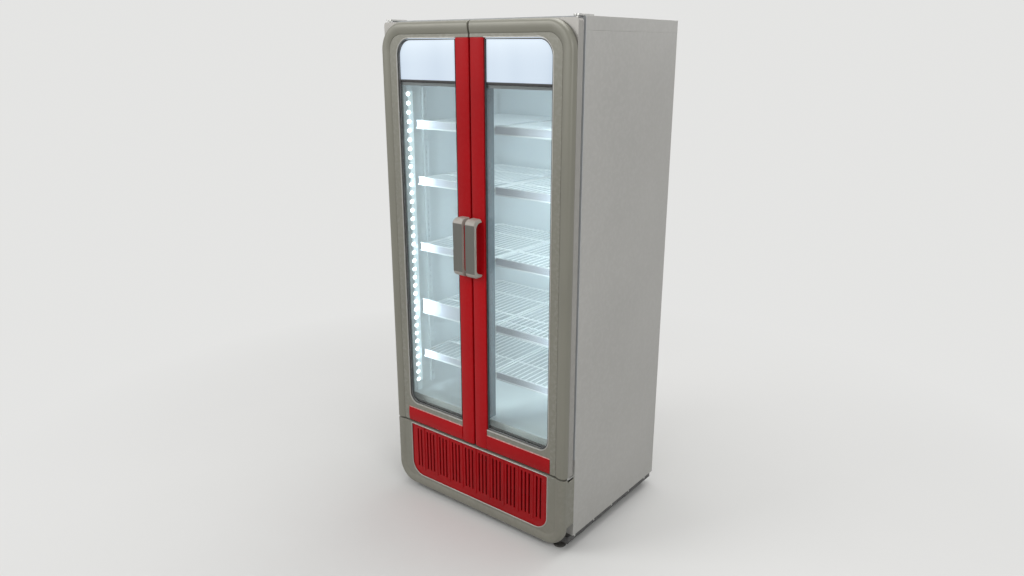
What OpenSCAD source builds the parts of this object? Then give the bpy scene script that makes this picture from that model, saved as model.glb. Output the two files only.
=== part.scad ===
// Double-door drinks cooler with a glass front, standing on four levelling feet.
// Millimetres. The front faces -Y, +Z is up, and the origin is on the floor under the middle.
// The left door is drawn, and the right one is its mirror image.

/* [Cabinet] */
// Width over the cabinet and the closed doors
cab_w = 900; // [840:5:1100]
// Height of the cabinet's top above the floor
cab_h = 1994; // [1960:1:2120]
// Depth of the cabinet behind its doors
cab_d = 640; // [600:5:720]
// Thickness of the insulated walls
wall = 45; // [40:1:55]
// Thickness of the white inner lining
liner_t = 2; // [1:0.5:3]
// Thickness of the dark strip round the cabinet's mouth
mouth_t = 3; // [2:0.5:5]
// Radius of the outer upright corners at the back
wall_corner_r = 6; // [2:1:12]
// How deep the fields of the back are pressed in
rear_field_t = 3; // [2:0.5:5]
// Width of the border round those fields
rear_border = 40; // [30:5:60]
// Width of the upright rib between them
rear_rib_w = 60; // [40:5:100]
// Radius of their corners
rear_r = 25; // [10:5:40]
// Height of the inner floor above the ground
floor_z = 440; // [425:5:470]
// Width of the post between the two doors
mullion_w = 60; // [56:1:80]
// Depth of that post
mullion_d = 40; // [30:1:50]

/* [Doors] */
// Thickness of a door without its seal
door_t = 55; // [50:1:65]
// Height of the doors' lower edge above the ground
door_z = 336; // [330:1:350]
// Gap between the doors' top edge and the cabinet's top level
door_top_gap = 6; // [5:1:10]
// Gap between the two doors
door_gap = 8; // [7:1:14]
// Thickness of the frame moulding in front of the door's core
bezel_t = 25; // [22:1:28]
// Width of the silver side frame
side_w = 82; // [70:1:95]
// Height of the silver top frame
top_w = 58; // [46:1:60]
// Width of the rounded outer band of the frame
band_w = 45; // [35:1:46]
// Radius of that band's front edge
band_r = 16; // [8:1:20]
// Radius of that band's crown
crown_r = 60; // [50:5:120]
// Radius of the frame's outer corner
corner_r = 105; // [80:5:120]
// Radius of the glass opening's upper corner
opening_r = 65; // [40:5:70]
// Radius of the glass opening's lower corner
sill_r = 45; // [20:5:60]
// Width of the red upright beside the gap
stile_w = 62; // [58:1:80]
// Height of the red rail at the door's foot
rail_h = 64; // [50:1:80]
// How far the red rail reaches beyond the glass opening
rail_reach = 10; // [0:1:20]
// Height of the pale bead over the red rail
bead_h = 24; // [15:1:40]
// Radius of the crown on the red uprights and rails
red_crown_r = 150; // [100:10:300]
// How far the glass and the header panel lie behind the frame's front
pane_set = 16; // [14:1:18]
// Width of the core frame's bars
core_w = 30; // [28:1:36]
// Height of the lit header panel
header_h = 152; // [120:2:200]
// Height of the dark bar under the header
transom_h = 8; // [6:1:20]
// Thickness of a glass pane
pane_t = 4; // [3:0.5:6]
// Space between the two panes
pane_gap = 12; // [8:1:14]
// Distance from a door's back to the cabinet's mouth
seal_gap = 12; // [10:1:16]
// Width of the door seal
seal_w = 14; // [10:1:18]

/* [Hinges and handles] */
// Distance of the hinge axis from the door's outer edge
axis_in = 16; // [14:1:17]
// Radius of the hinge pins
pin_r = 5; // [4:0.5:6]
// Radial clearance of the pins in the doors
pin_fit = 0.05; // [0.02:0.01:0.09]
// Depth of the pin holes in a door
pin_depth = 30; // [24:1:40]
// Clearance between a pin's end and the bottom of its hole
pin_clear = 4; // [2:0.5:6]
// Thickness of the hinge plates
plate_t = 6; // [5:0.5:7]
// Width of the hinge plates
plate_w = 24; // [22:1:28]
// How far the upper hinge plates reach over the cabinet's top
plate_reach = 50; // [40:5:80]
// Height of the lower hinge plates' flanges
plate_flange = 50; // [30:5:60]
// Thickness of those flanges
flange_t = 4; // [3:0.5:5]
// Depth of the upper hinge plates' seats in the cabinet's top
plate_seat = 1; // [0.5:0.5:1]
// Radius of the screws in the hinge plates
screw_r = 3; // [2:0.5:4]
// Radius of the thrust washers
washer_r = 11; // [9:0.5:13]
// Height of the handles
handle_h = 226; // [200:2:320]
// Width of a handle
handle_w = 45; // [36:1:54]
// How far the handles stand out
handle_out = 41; // [38:1:60]
// Thickness of the handle's grip
grip_t = 12; // [10:1:16]
// Height of the handle's middle above the ground
handle_z = 1173; // [1000:1:1300]

/* [Base] */
// Gap between the lower panel and the doors
panel_gap = 8; // [6:1:12]
// Height of the lower panel's lower edge above the ground
panel_z = 28; // [20:1:40]
// Radius of the lower panel's outer corners
panel_r = 90; // [60:5:110]
// Thickness of the lower panel's returns along the cabinet's sides
panel_return = 4; // [3:0.5:6]
// Radius of the red grille's lower corners
grille_r = 60; // [30:5:70]
// Radius of the red grille's upper corners
grille_top_r = 6; // [4:1:20]
// Height of the strip of panel under the grille
panel_sill = 52; // [47:1:70]
// Height of the strip of panel over the grille
panel_lintel = 5; // [4:1:30]
// Thickness of the red grille's plate
grille_t = 8; // [5:1:10]
// Distance between the grille's tall ribs
rib_pitch = 74; // [56:1:100]
// Width of a grille slot
slot_w = 8; // [5:1:10]
// Number of slots between two ribs
slots_per_bay = 3; // [1:1:3]
// Distance of the slots' ends from the grille's upper edge
slot_margin = 20; // [14:1:30]
// Radius of the grille's ribs
rib_r = 4; // [3:0.5:6]
// Height of the feet under the base
foot_h = 30; // [25:1:50]
// Radius of a foot
foot_r = 25; // [18:1:35]
// Height of a foot's pad
foot_pad = 10; // [8:1:14]
// Distance of the feet from the cabinet's sides
foot_in = 60; // [50:5:90]
// Height of the base
base_h = 30; // [25:1:45]
// Distance of the base from the cabinet's sides
base_in = 10; // [6:1:20]
// Width of the base's beams
beam_w = 40; // [30:1:60]
// Thickness of the base's floor
tray_t = 4; // [2:0.5:6]

/* [Machine space] */
// Radius of the compressor's shell
compressor_r = 84; // [70:1:90]
// Height of the compressor's top above the base
compressor_h = 190; // [160:5:215]
// Distance of the compressor's middle from the side and from the back
compressor_in = 230; // [210:5:260]
// Distance of the condenser from the middle
coil_in = 20; // [10:5:40]
// Distance of the condenser from the cabinet's side
coil_out = 90; // [70:5:110]
// Distance of the condenser from the cabinet's mouth
coil_set = 120; // [100:5:150]
// Thickness of the condenser's coil
coil_d = 60; // [40:5:70]
// Thickness of the coil's fins and of its fan plate
fin_t = 2; // [1.5:0.5:3]
// Distance between the coil's fins
fin_pitch = 12; // [9:1:20]
// Radius of the opening for the condenser's fan
fan_r = 105; // [90:5:115]
// Distance between the machine space's pieces and the slab over them
machine_gap = 40; // [30:5:50]
// Number of slot rows in the rear grille
rear_rows = 9; // [5:1:12]
// Height of a slot in the rear grille
rear_slot_h = 9; // [6:1:11]

/* [Shelves and lights] */
// Height of the lowest shelf above the ground
shelf_z = 625; // [600:5:660]
// Distance of the highest shelf from the header's lower edge
shelf_drop = 165; // [120:5:200]
// Number of slots from each shelf up to the next, from the lowest on
shelf_slots = [8, 11, 11, 9]; // [6:1:14]
// Distance of the shelves' front from the cabinet's mouth
shelf_set = 64; // [60:1:90]
// Radius of the shelf's frame wire
frame_wire_r = 3; // [2.5:0.5:4]
// Radius of the shelf's thin wires
thin_wire_r = 1.7; // [1.5:0.1:2]
// Distance between thin wires
wire_pitch = 24; // [18:1:40]
// Distance of a shelf's cross wires from its front and its back
brace_in = 150; // [100:5:180]
// Height of the ticket rails
ticket_h = 34; // [25:1:45]
// Height of the tall ticket rail in the left half
tall_ticket_h = 64; // [50:1:80]
// Shelf that carries the tall ticket rail, counted from the lowest one as 0
tall_ticket_shelf = 1; // [0:1:4]
// Thickness of a ticket rail's sheet
ticket_t = 2.5; // [2:0.5:3.5]
// Depth of a ticket rail's lips
ticket_lip = 7; // [6:0.5:10]
// Width of the slotted uprights
pilaster_w = 24; // [20:1:30]
// Depth of the slotted uprights
pilaster_d = 8; // [6:1:10]
// Width of a light strip
light_w = 40; // [30:1:46]
// Depth of a light strip
light_d = 12; // [8:1:16]
// Distance of the light strips from the cabinet's front edge
light_set = 1; // [0.5:0.5:20]
// Distance of the light strips' ends from the floor and from the header's level
light_gap = 4; // [2:1:10]
// Depth of the evaporator's cover
cover_d = 330; // [300:5:360]
// Height of the evaporator's cover
cover_h = 150; // [130:5:160]
// Radius of the fan openings in that cover
cover_fan_r = 85; // [70:5:95]

/* [Hidden] */
$fn = 48;

// Clearance of pieces that only lie beside each other
fit = 0.3;
// Planes from front to back
total_d = handle_out + door_t + seal_gap + cab_d;
y_front = handle_out - total_d / 2;
y_core = y_front + bezel_t;
y_door_back = y_front + door_t;
y_mouth = y_door_back + seal_gap;
y_back = total_d / 2;
y_walls = y_mouth + mouth_t;
y_inner_back = y_back - wall - liner_t;
// Planes from side to side, on the left half
x_out = -cab_w / 2;
x_gap = -door_gap / 2;
x_wall = x_out + wall;
x_liner = x_wall + liner_t;
x_open = x_out + side_w;
x_rail = x_open - rail_reach;
x_stile = x_gap - stile_w;
x_axis = x_out + axis_in;
y_axis = y_core + (door_t - bezel_t) / 2;
// Levels
door_top = cab_h - door_top_gap;
ceiling_z = cab_h - wall - liner_t;
rail_top = door_z + rail_h;
glass_z = rail_top + bead_h;
open_top = door_top - top_w;
header_z = open_top - header_h;
transom_z = header_z - transom_h;
panel_top = door_z - panel_gap;
base_z = foot_h;
tray_top = base_z + base_h;
slab_z = floor_z - liner_t - wall;
// Rail under the slab's front edge
front_rail_h = 30;
front_rail_d = 20;
// The base runs from here in front of the mouth to here before the back
base_front = 20;
base_back = 5;
// Colours of the real cooler
silver = [0.52, 0.50, 0.47];
light_grey = [0.70, 0.70, 0.68];
red = [0.62, 0.04, 0.06];
white = [0.93, 0.94, 0.95];
black = [0.06, 0.06, 0.06];
clear = [0.75, 0.88, 0.90, 0.35];

// Shared shapes

// The bit that a round corner takes off a square one, for a corner at (x, z)
module corner_cut(x, z, r, sx, sz) {
    translate([sx > 0 ? x : x - r, sz > 0 ? z : z - r]) difference() {
        square(r);
        translate([sx > 0 ? r : 0, sz > 0 ? r : 0]) circle(r);
    }
}

// A rectangle with its own radius at each corner: bottom left, bottom right, top right, top left
module cornered(x0, z0, x1, z1, bl = 0, br = 0, tr = 0, tl = 0) {
    difference() {
        translate([x0, z0]) square([x1 - x0, z1 - z0]);
        if (bl > 0) corner_cut(x0, z0, bl, 1, 1);
        if (br > 0) corner_cut(x1, z0, br, -1, 1);
        if (tr > 0) corner_cut(x1, z1, tr, -1, -1);
        if (tl > 0) corner_cut(x0, z1, tl, 1, -1);
    }
}

// An outline seen from the front, made a plate from depth y to y + t
module facing(y, t) {
    translate([0, y + t, 0]) rotate([90, 0, 0]) linear_extrude(t) children();
}

// A block from corner a to corner b
module block(a, b) {
    translate(a) cube(b - a);
}

// The same piece on both halves
module both_sides() {
    children();
    mirror([1, 0, 0]) children();
}

// Section of the frame's rounded band: x runs inwards from its edge, y to the back
module band_section() {
    intersection() {
        cornered(0, 0, band_w, bezel_t, bl = band_r);
        translate([band_w * 0.45, crown_r]) circle(crown_r, $fn = 96);
    }
}

// An upright stretch of that band on the left edge
module band_upright(z0, z1) {
    translate([x_out, y_front, z0]) linear_extrude(z1 - z0) band_section();
}

// A quarter turn of that band about a centre, from the angle start on
module band_turn(x, z, r, start) {
    translate([x, y_front, z]) rotate([90, 0, 0]) rotate([0, 0, start])
        rotate_extrude(angle = 90, $fn = 96) translate([r, 0]) rotate(180) band_section();
}

// How far the flat part of a frame lies behind the crown of its band
bead_step = crown_r - sqrt(crown_r * crown_r - pow(band_w * 0.55, 2));

// Cabinet

module side_wall() {
    color(light_grey) translate([0, 0, tray_top]) linear_extrude(cab_h - wall - tray_top)
        cornered(x_out, y_walls, x_wall, y_back, tl = wall_corner_r);
}

module left_wall() {
    side_wall();
}

module right_wall() {
    mirror([1, 0, 0]) side_wall();
}

// The back, with two fields pressed in beside an upright rib
module rear_wall() {
    half = (-x_wall - rear_border - rear_rib_w / 2) / 2;
    color(light_grey) difference() {
        block([x_wall, y_back - wall, slab_z], [-x_wall, y_back, cab_h - wall]);
        for (s = [-1, 1]) facing(y_back - rear_field_t, rear_field_t + 1)
            translate([s * (rear_rib_w / 2 + half), 0])
                cornered(-half, slab_z + rear_border, half, cab_h - wall - rear_border,
                    bl = rear_r, br = rear_r, tr = rear_r, tl = rear_r);
    }
}

// Space cut for the upper hinge plates
module plate_seats() {
    both_sides() block([x_out - 1, y_mouth - 1, cab_h - plate_seat],
        [x_axis + plate_w / 2 + 1, y_walls + plate_reach + 1, cab_h + 1]);
}

// The roof, with a shallow seat for each upper hinge plate
module top_wall() {
    color(light_grey) difference() {
        translate([0, 0, cab_h - wall]) linear_extrude(wall)
            cornered(x_out, y_walls, -x_out, y_back, tl = wall_corner_r, tr = wall_corner_r);
        plate_seats();
    }
}

// The insulated slab under the goods, with the front rail that closes the machine space
module insulated_floor() {
    color(light_grey) union() {
        block([x_wall, y_walls, slab_z], [-x_wall, y_back - wall, slab_z + wall]);
        block([x_wall, y_walls, panel_top - front_rail_h], [-x_wall, y_walls + front_rail_d, slab_z]);
    }
}

module inner_liner() {
    color(white) difference() {
        block([x_wall, y_walls, slab_z + wall], [-x_wall, y_back - wall, cab_h - wall]);
        block([x_liner, y_walls - 1, floor_z], [-x_liner, y_inner_back, ceiling_z]);
    }
}

module centre_mullion() {
    color(light_grey) block([-mullion_w / 2, y_walls, floor_z],
        [mullion_w / 2, y_walls + mullion_d, ceiling_z]);
}

// The dark strip that the seals close against
module mouth_strip() {
    color(black) difference() {
        facing(y_mouth, mouth_t) difference() {
            cornered(x_out, slab_z, -x_out, cab_h, tl = wall_corner_r, tr = wall_corner_r);
            for (s = [-1, 1])
                translate([s * (mullion_w / 2 - x_liner) / 2, (floor_z + ceiling_z) / 2])
                    square([-x_liner - mullion_w / 2, ceiling_z - floor_z], center = true);
        }
        plate_seats();
    }
}

// Base

// A tray that is open below, so that beams run round its edge
module base_tray() {
    x = x_out + base_in;
    y0 = y_mouth - base_front;
    y1 = y_back - base_back;
    color(black) difference() {
        block([x, y0, base_z], [-x, y1, tray_top]);
        block([x + beam_w, y0 + beam_w, base_z - 1], [-x - beam_w, y1 - beam_w, tray_top - tray_t]);
    }
}

// A levelling foot: a pad with a chamfered rim, a threaded stem and a lock nut under the base
module levelling_foot() {
    rim = foot_pad * 0.4;
    rotate_extrude() polygon([[0, 0], [foot_r, 0], [foot_r, foot_pad - rim],
        [foot_r * 0.7, foot_pad], [0, foot_pad]]);
    cylinder(h = base_z, r = foot_r * 0.24);
    translate([0, 0, base_z - foot_pad * 0.6]) cylinder(h = foot_pad * 0.6, r = foot_r * 0.44, $fn = 6);
}

module levelling_feet() {
    y0 = y_mouth - base_front + beam_w / 2;
    y1 = y_back - base_back - beam_w / 2;
    color(black) for (x = [x_out + foot_in, -x_out - foot_in], y = [y0, y1])
        translate([x, y, 0]) levelling_foot();
}

module grille_outline(c) {
    cornered(x_open + c, panel_z + panel_sill + c, -x_open - c, panel_top - panel_lintel - c,
        bl = grille_r - c, br = grille_r - c, tr = grille_top_r, tl = grille_top_r);
}

module lower_panel() {
    color(silver) union() {
        both_sides() {
            band_upright(panel_z + panel_r, panel_top);
            band_turn(x_out + panel_r, panel_z + panel_r, panel_r, 180);
            block([x_out, y_core, panel_z + panel_r],
                [x_out + panel_return, y_walls, panel_top - 2 * plate_t]);
        }
        translate([x_out + panel_r, y_front, panel_z]) rotate([0, 90, 0])
            linear_extrude(cab_w - 2 * panel_r) mirror([1, 0, 0]) band_section();
        facing(y_front + bead_step, bezel_t - bead_step) difference() {
            cornered(x_out + band_w, panel_z + band_w, -x_out - band_w, panel_top,
                bl = panel_r - band_w, br = panel_r - band_w);
            grille_outline(0);
        }
    }
}

// Red grille: a plate with upright slots, and a proud rib between every group of slots
module louvre_grille() {
    z0 = panel_z + panel_sill + 2 * slot_margin;
    z1 = panel_top - panel_lintel - slot_margin;
    half = -x_open - grille_r / 2;
    pitch = rib_pitch / (slots_per_bay + 1);
    last = floor(half / pitch);
    y = y_front + bead_step + rib_r;
    r = slot_w / 2;
    color(red) union() {
        facing(y, grille_t) difference() {
            grille_outline(fit);
            for (i = [-last : last])
                if (i % (slots_per_bay + 1) != 0)
                    translate([i * pitch, 0]) cornered(-r, z0, r, z1, bl = r, br = r, tr = r, tl = r);
        }
        for (i = [-last : last])
            if (i % (slots_per_bay + 1) == 0)
                translate([i * pitch, y, z0 - slot_margin / 2])
                    cylinder(h = z1 - z0 + slot_margin, r = rib_r);
    }
}

// Machine space

// A sealed shell with a domed top on a mounting plate with rubber feet
module compressor() {
    r = compressor_r;
    plate_z = r * 0.17;
    plate_h = r * 0.05;
    color(black) translate([x_out + compressor_in, y_back - compressor_in, tray_top]) {
        rotate_extrude() cornered(0, plate_z + plate_h, r, compressor_h, br = r * 0.28, tr = r * 0.57);
        block([-r * 1.3, -r * 0.95, plate_z], [r * 1.3, r * 0.95, plate_z + plate_h]);
        for (x = [-r * 1.1, r * 1.1], y = [-r * 0.74, r * 0.74])
            translate([x, y, 0]) cylinder(h = plate_z, r = plate_z);
    }
}

// Finned coil with its fan plate, the fan's hub and the three arms that hold it
module condenser() {
    x0 = coil_in;
    x1 = -x_out - coil_out;
    y0 = y_mouth + coil_set;
    z1 = slab_z - machine_gap;
    fins = floor((x1 - x0) / fin_pitch);
    color(light_grey) union() {
        translate([0, 0, tray_top]) linear_extrude(z1 - tray_top) {
            translate([x0, y0 + coil_d / 2 - fin_t]) square([x1 - x0, 2 * fin_t]);
            for (i = [0 : fins])
                translate([x0 + i * (x1 - x0 - fin_t) / fins, y0]) square([fin_t, coil_d]);
        }
        facing(y0 + coil_d, fin_t) difference() {
            translate([x0, tray_top]) square([x1 - x0, z1 - tray_top]);
            translate([(x0 + x1) / 2, (tray_top + z1) / 2]) circle(fan_r);
        }
        facing(y0 + coil_d + fin_t, fin_t)
            translate([(x0 + x1) / 2, (tray_top + z1) / 2]) union() {
                for (a = [0 : 60 : 120])
                    rotate(a) square([fan_r * 2.2, fan_r * 0.08], center = true);
                circle(fan_r * 0.38);
            }
    }
}

// A thin plate with two columns of air slots
module rear_grille() {
    z0 = tray_top + machine_gap;
    pitch = (slab_z - machine_gap - z0) / (rear_rows - 1);
    color(light_grey) facing(y_back - rear_in - rear_plate_t, rear_plate_t) difference() {
        translate([x_wall, tray_top]) square([-2 * x_wall, slab_z - tray_top]);
        for (i = [0 : rear_rows - 1], s = [-1, 1])
            translate([s * (-x_wall / 2), z0 + i * pitch])
                square([-x_wall - rear_web, rear_slot_h], center = true);
    }
}

rear_plate_t = 3;
rear_web = 60;
// How far that plate lies behind the back's face
rear_in = 3;

// Shelves

// Slots between the lowest shelf and the shelf i, which a slotted upright spaces evenly
function slots_below(i) = i == 0 ? 0 : slots_below(i - 1) + shelf_slots[i - 1];
shelf_count = len(shelf_slots) + 1;
slot_pitch = (header_z - shelf_drop - shelf_z) / slots_below(shelf_count - 1);
slot_h = 12;
pilaster_z = floor_z + 20;
pilaster_top = transom_z;
shelf_y = y_mouth + shelf_set;
shelf_back = y_inner_back - pilaster_d - 8;
shelf_x = x_liner + pilaster_d + 6;
shelf_in = -8;
clip_h = 12;
clip_d = 16;
// Width of the clips at the cabinet's sides
narrow_clip = 16;
// Width of the clips that carry the shelves of both doors
wide_clip = 40;
// Places of the side channels behind the shelf's front and before its back
channel_front = 50;
channel_back = 60;
// Height of the frame wire's middle under the shelf's top
wire_drop = 2 * thin_wire_r + frame_wire_r - 0.6;

function shelf_level(i) = shelf_z + slots_below(i) * slot_pitch;

// A slotted channel that stands with its back on the plane y = 0 and faces -Y
module pilaster() {
    h = pilaster_top - pilaster_z;
    slots = floor((pilaster_top - shelf_z) / slot_pitch);
    low = floor((shelf_z - pilaster_z - 2 * slot_h) / slot_pitch);
    translate([0, 0, pilaster_z]) union() {
        facing(-pilaster_d, 2) difference() {
            translate([-pilaster_w / 2, 0]) square([pilaster_w, h]);
            for (i = [-low : slots - 1])
                translate([-3, shelf_z - pilaster_z + i * slot_pitch - slot_h]) square([6, slot_h]);
        }
        for (s = [-1, 1])
            block([s * (pilaster_w / 2 - 1) - 1, 2 - pilaster_d, 0],
                [s * (pilaster_w / 2 - 1) + 1, 0, h]);
    }
}

module shelf_pilasters() {
    color(white) {
        translate([0, y_inner_back, 0]) pilaster();
        translate([0, y_walls + mullion_d, 0]) rotate(180) pilaster();
        both_sides() for (y = [shelf_y + channel_front, shelf_back - channel_back])
            translate([x_liner, y, 0]) rotate(90) pilaster();
    }
}

// A bracket hooked into a slotted channel, with its flat top under the shelf's frame wire
module clip(w) {
    translate([-w / 2, 0, 0]) rotate([90, 0, 90]) linear_extrude(w)
        polygon([[0, 0], [0, -clip_h], [-4, -clip_h], [-clip_d, -4], [-clip_d, 0]]);
}

module shelf_clips() {
    color(light_grey) for (i = [0 : shelf_count - 1])
        translate([0, 0, shelf_level(i) - wire_drop - frame_wire_r]) {
            translate([0, y_inner_back - pilaster_d, 0]) clip(wide_clip);
            translate([0, y_walls + mullion_d + pilaster_d, 0]) rotate(180) clip(wide_clip);
            both_sides() for (y = [shelf_y + channel_front, shelf_back - channel_back])
                translate([x_liner + pilaster_d, y, 0]) rotate(90) clip(narrow_clip);
        }
}

// A straight wire from a to b along one axis
module wire(a, b, r) {
    d = b - a;
    translate(a) rotate(d[0] != 0 ? [0, 90, 0] : [-90, 0, 0])
        rotate(22.5) cylinder(h = norm(d), r = r, $fn = 8);
}

module wire_shelf() {
    r = frame_wire_r;
    count = floor((shelf_in - shelf_x - 20) / wire_pitch);
    step = (shelf_in - shelf_x) / (count + 1);
    translate([0, 0, -wire_drop]) {
        for (y = [shelf_y, shelf_back]) wire([shelf_x - r, y, 0], [shelf_in + r, y, 0], r);
        for (x = [shelf_x, shelf_in]) wire([x, shelf_y - r, 0], [x, shelf_back + r, 0], r);
        for (y = [shelf_y + brace_in, shelf_back - brace_in]) wire([shelf_x, y, 0], [shelf_in, y, 0], r);
    }
    for (i = [1 : count])
        wire([shelf_x + i * step, shelf_y - r, -thin_wire_r],
            [shelf_x + i * step, shelf_back + r, -thin_wire_r], thin_wire_r);
}

module shelf_stack() {
    color(white) for (i = [0 : shelf_count - 1]) translate([0, 0, shelf_level(i)]) wire_shelf();
}

module left_shelves() {
    shelf_stack();
}

module right_shelves() {
    mirror([1, 0, 0]) shelf_stack();
}

// Section of a ticket rail that is h high: its back wall with a lip over and under the tickets.
// x runs to the back, y up, and y = 0 is the rail's foot.
module ticket_section(h) {
    translate([-ticket_t, 0]) square([ticket_t, h]);
    difference() {
        translate([-ticket_lip, 0]) square([ticket_lip, ticket_t * 2]);
        translate([-ticket_lip + ticket_t, ticket_t]) square([ticket_lip - 2 * ticket_t, ticket_t + 1]);
    }
    translate([-ticket_lip, h - ticket_t]) square([ticket_lip, ticket_t]);
}

// The white strip that hooks over a shelf's front wire in the left half
module ticket_rail(i, h) {
    x_end = -wide_clip / 2 - 2;
    translate([shelf_x, shelf_y - frame_wire_r - fit, shelf_level(i) + 4 - ticket_h])
        rotate([90, 0, 90]) linear_extrude(x_end - shelf_x) ticket_section(h);
}

module ticket_rails() {
    color(white) for (i = [0 : shelf_count - 1]) {
        ticket_rail(i, i == tall_ticket_shelf ? tall_ticket_h : ticket_h);
        mirror([1, 0, 0]) ticket_rail(i, ticket_h);
    }
}

// A channel with bevelled flanks in each front corner of the cold space
module light_strips() {
    y = y_walls + light_set;
    x = x_liner + light_d;
    bevel = light_d / 2;
    color(white) both_sides() translate([0, 0, floor_z + light_gap])
        linear_extrude(header_z - floor_z - 2 * light_gap)
            polygon([[x_liner, y], [x, y + bevel], [x, y + light_w - bevel], [x_liner, y + light_w]]);
}

// The fan and coil housing under the ceiling at the back
module evaporator_cover() {
    d = cover_d;
    h = cover_h;
    bevel = h / 3;
    color(white) translate([x_liner, y_inner_back, ceiling_z]) rotate([90, 0, 90])
        difference() {
            linear_extrude(-2 * x_liner)
                polygon([[0, 0], [0, -h], [-d + bevel, -h], [-d, -h + bevel], [-d, 0]]);
            for (s = [0.25, 0.75]) translate([-d / 2, -h - 1, -2 * x_liner * s])
                rotate([-90, 0, 0]) cylinder(h = bevel, r = cover_fan_r);
        }
}

// Hinges

// A countersunk hole for a screw that goes down from the level z
module screw_hole(x, y, z) {
    translate([x, y, z - plate_t - 1]) cylinder(h = plate_t + 2, r = screw_r);
    translate([x, y, z - screw_r]) cylinder(h = screw_r + 0.01, r1 = screw_r, r2 = 2 * screw_r);
}

// The plate that holds a door's upper pin, set in its seat on the roof
module upper_hinge() {
    z = cab_h - plate_seat;
    difference() {
        block([x_axis - plate_w / 2, y_axis, z],
            [x_axis + plate_w / 2, y_walls + plate_reach, z + plate_t]);
        for (y = [0.25, 0.75])
            screw_hole(x_axis, y_walls + y * plate_reach, z + plate_t);
    }
    translate([x_axis, y_axis, z]) cylinder(h = plate_t, r = plate_w / 2);
    translate([x_axis, y_axis, door_top - pin_depth + pin_clear])
        cylinder(h = z - door_top + pin_depth - pin_clear, r = pin_r);
}

// The bracket that carries a door: plate, flange, thrust washer and pin
module lower_hinge() {
    z = panel_top - plate_t;
    x0 = x_axis - plate_w / 2;
    x1 = x_axis + plate_w / 2;
    block([x0, y_axis, z], [x1, y_walls, panel_top]);
    block([x0, y_walls - flange_t, panel_top - plate_flange], [x1, y_walls, panel_top]);
    translate([x_axis, y_axis, z]) cylinder(h = plate_t, r = plate_w / 2);
    translate([x_axis, y_axis, panel_top]) cylinder(h = panel_gap - fit, r = washer_r);
    translate([x_axis, y_axis, panel_top])
        cylinder(h = panel_gap + pin_depth - pin_clear, r = pin_r);
}

module hinge_plates() {
    color(light_grey) both_sides() {
        union() upper_hinge();
        union() lower_hinge();
    }
}

// Doors, each piece drawn for the left one

module door_core() {
    color(light_grey) difference() {
        facing(y_core, door_t - bezel_t) difference() {
            cornered(x_out, door_z, x_gap, door_top, tl = 12);
            translate([x_out + core_w, door_z + core_w])
                square([x_gap - x_out - 2 * core_w, door_top - door_z - 2 * core_w]);
        }
        for (z = [door_z - 1, door_top - pin_depth])
            translate([x_axis, y_axis, z]) cylinder(h = pin_depth + 1, r = pin_r + pin_fit);
    }
}

module glass_opening(c = 0) {
    cornered(x_open + c, glass_z + c, x_stile - c, open_top - c, bl = sill_r - c, tl = opening_r - c);
}

// Space behind the front mouldings for the glass
module pane_pocket() {
    block([pane_x0 - fit, y_front + pane_set - fit, pane_z0 - fit],
        [pane_x1 + fit, y_core + 1, pane_z1 + fit]);
}

module door_frame() {
    color(silver) difference() {
        frame_moulding();
        pane_pocket();
    }
}

module frame_moulding() {
    union() {
        band_upright(door_z, door_top - corner_r);
        band_turn(x_out + corner_r, door_top - corner_r, corner_r, 90);
        translate([x_out + corner_r, y_front, door_top]) rotate([0, 90, 0])
            linear_extrude(x_gap - x_out - corner_r) band_section();
        facing(y_front + bead_step, bezel_t - bead_step) difference() {
            cornered(x_out + band_w, door_z, x_gap, door_top - band_w, tl = corner_r - band_w);
            glass_opening();
            translate([x_rail, door_z]) square([x_gap - x_rail, rail_h]);
            translate([x_stile, door_z]) square([stile_w, open_top - door_z]);
        }
    }
}

// Section of the red bars: w wide, crowned at the front
module red_section(w) {
    intersection() {
        square([w, bezel_t - 2]);
        translate([w / 2, red_crown_r]) circle(red_crown_r, $fn = 96);
    }
}

module stile_bar() {
    translate([x_stile, y_front + 2, door_z]) linear_extrude(open_top - door_z)
        red_section(stile_w);
}

module stile() {
    color(red) difference() {
        stile_bar();
        pane_pocket();
    }
}

module rail() {
    color(red) difference() {
        translate([x_rail, y_front + 2, rail_top]) rotate([0, 90, 0])
            linear_extrude(x_stile - x_rail) red_section(rail_h);
        pane_pocket();
    }
}

module transom() {
    color(black) union() {
        block([x_open, y_front + pane_set - 1, transom_z], [x_stile, y_core, header_z]);
        block([x_out + core_w, y_core, transom_z], [x_gap - core_w, y_door_back, header_z]);
    }
}

module header_panel() {
    color(white) facing(y_front + pane_set, bezel_t - pane_set) intersection() {
        glass_opening(fit);
        translate([x_open, header_z]) square([x_stile - x_open, header_h]);
    }
}

module header_housing() {
    color(light_grey) block([x_out + core_w, y_core, header_z],
        [x_gap - core_w, y_door_back - 2, door_top - core_w]);
}

pane_x0 = x_out + core_w + fit;
pane_x1 = x_gap - core_w - fit;
pane_z0 = door_z + core_w + fit;
pane_z1 = transom_z - fit;

module glass() {
    color(clear) for (y = [y_front + pane_set, y_front + pane_set + pane_t + pane_gap])
        block([pane_x0, y, pane_z0], [pane_x1, y + pane_t, pane_z1]);
}

module glass_spacer() {
    color(light_grey) facing(y_front + pane_set + pane_t, pane_gap) difference() {
        cornered(pane_x0, pane_z0, pane_x1, pane_z1);
        cornered(pane_x0 + 12, pane_z0 + 12, pane_x1 - 12, pane_z1 - 12);
    }
}

seal_x0 = x_out + axis_in + 4;
seal_x1 = x_gap - 4;
seal_z0 = slab_z + 6;
seal_z1 = door_top - axis_in - 4;

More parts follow.
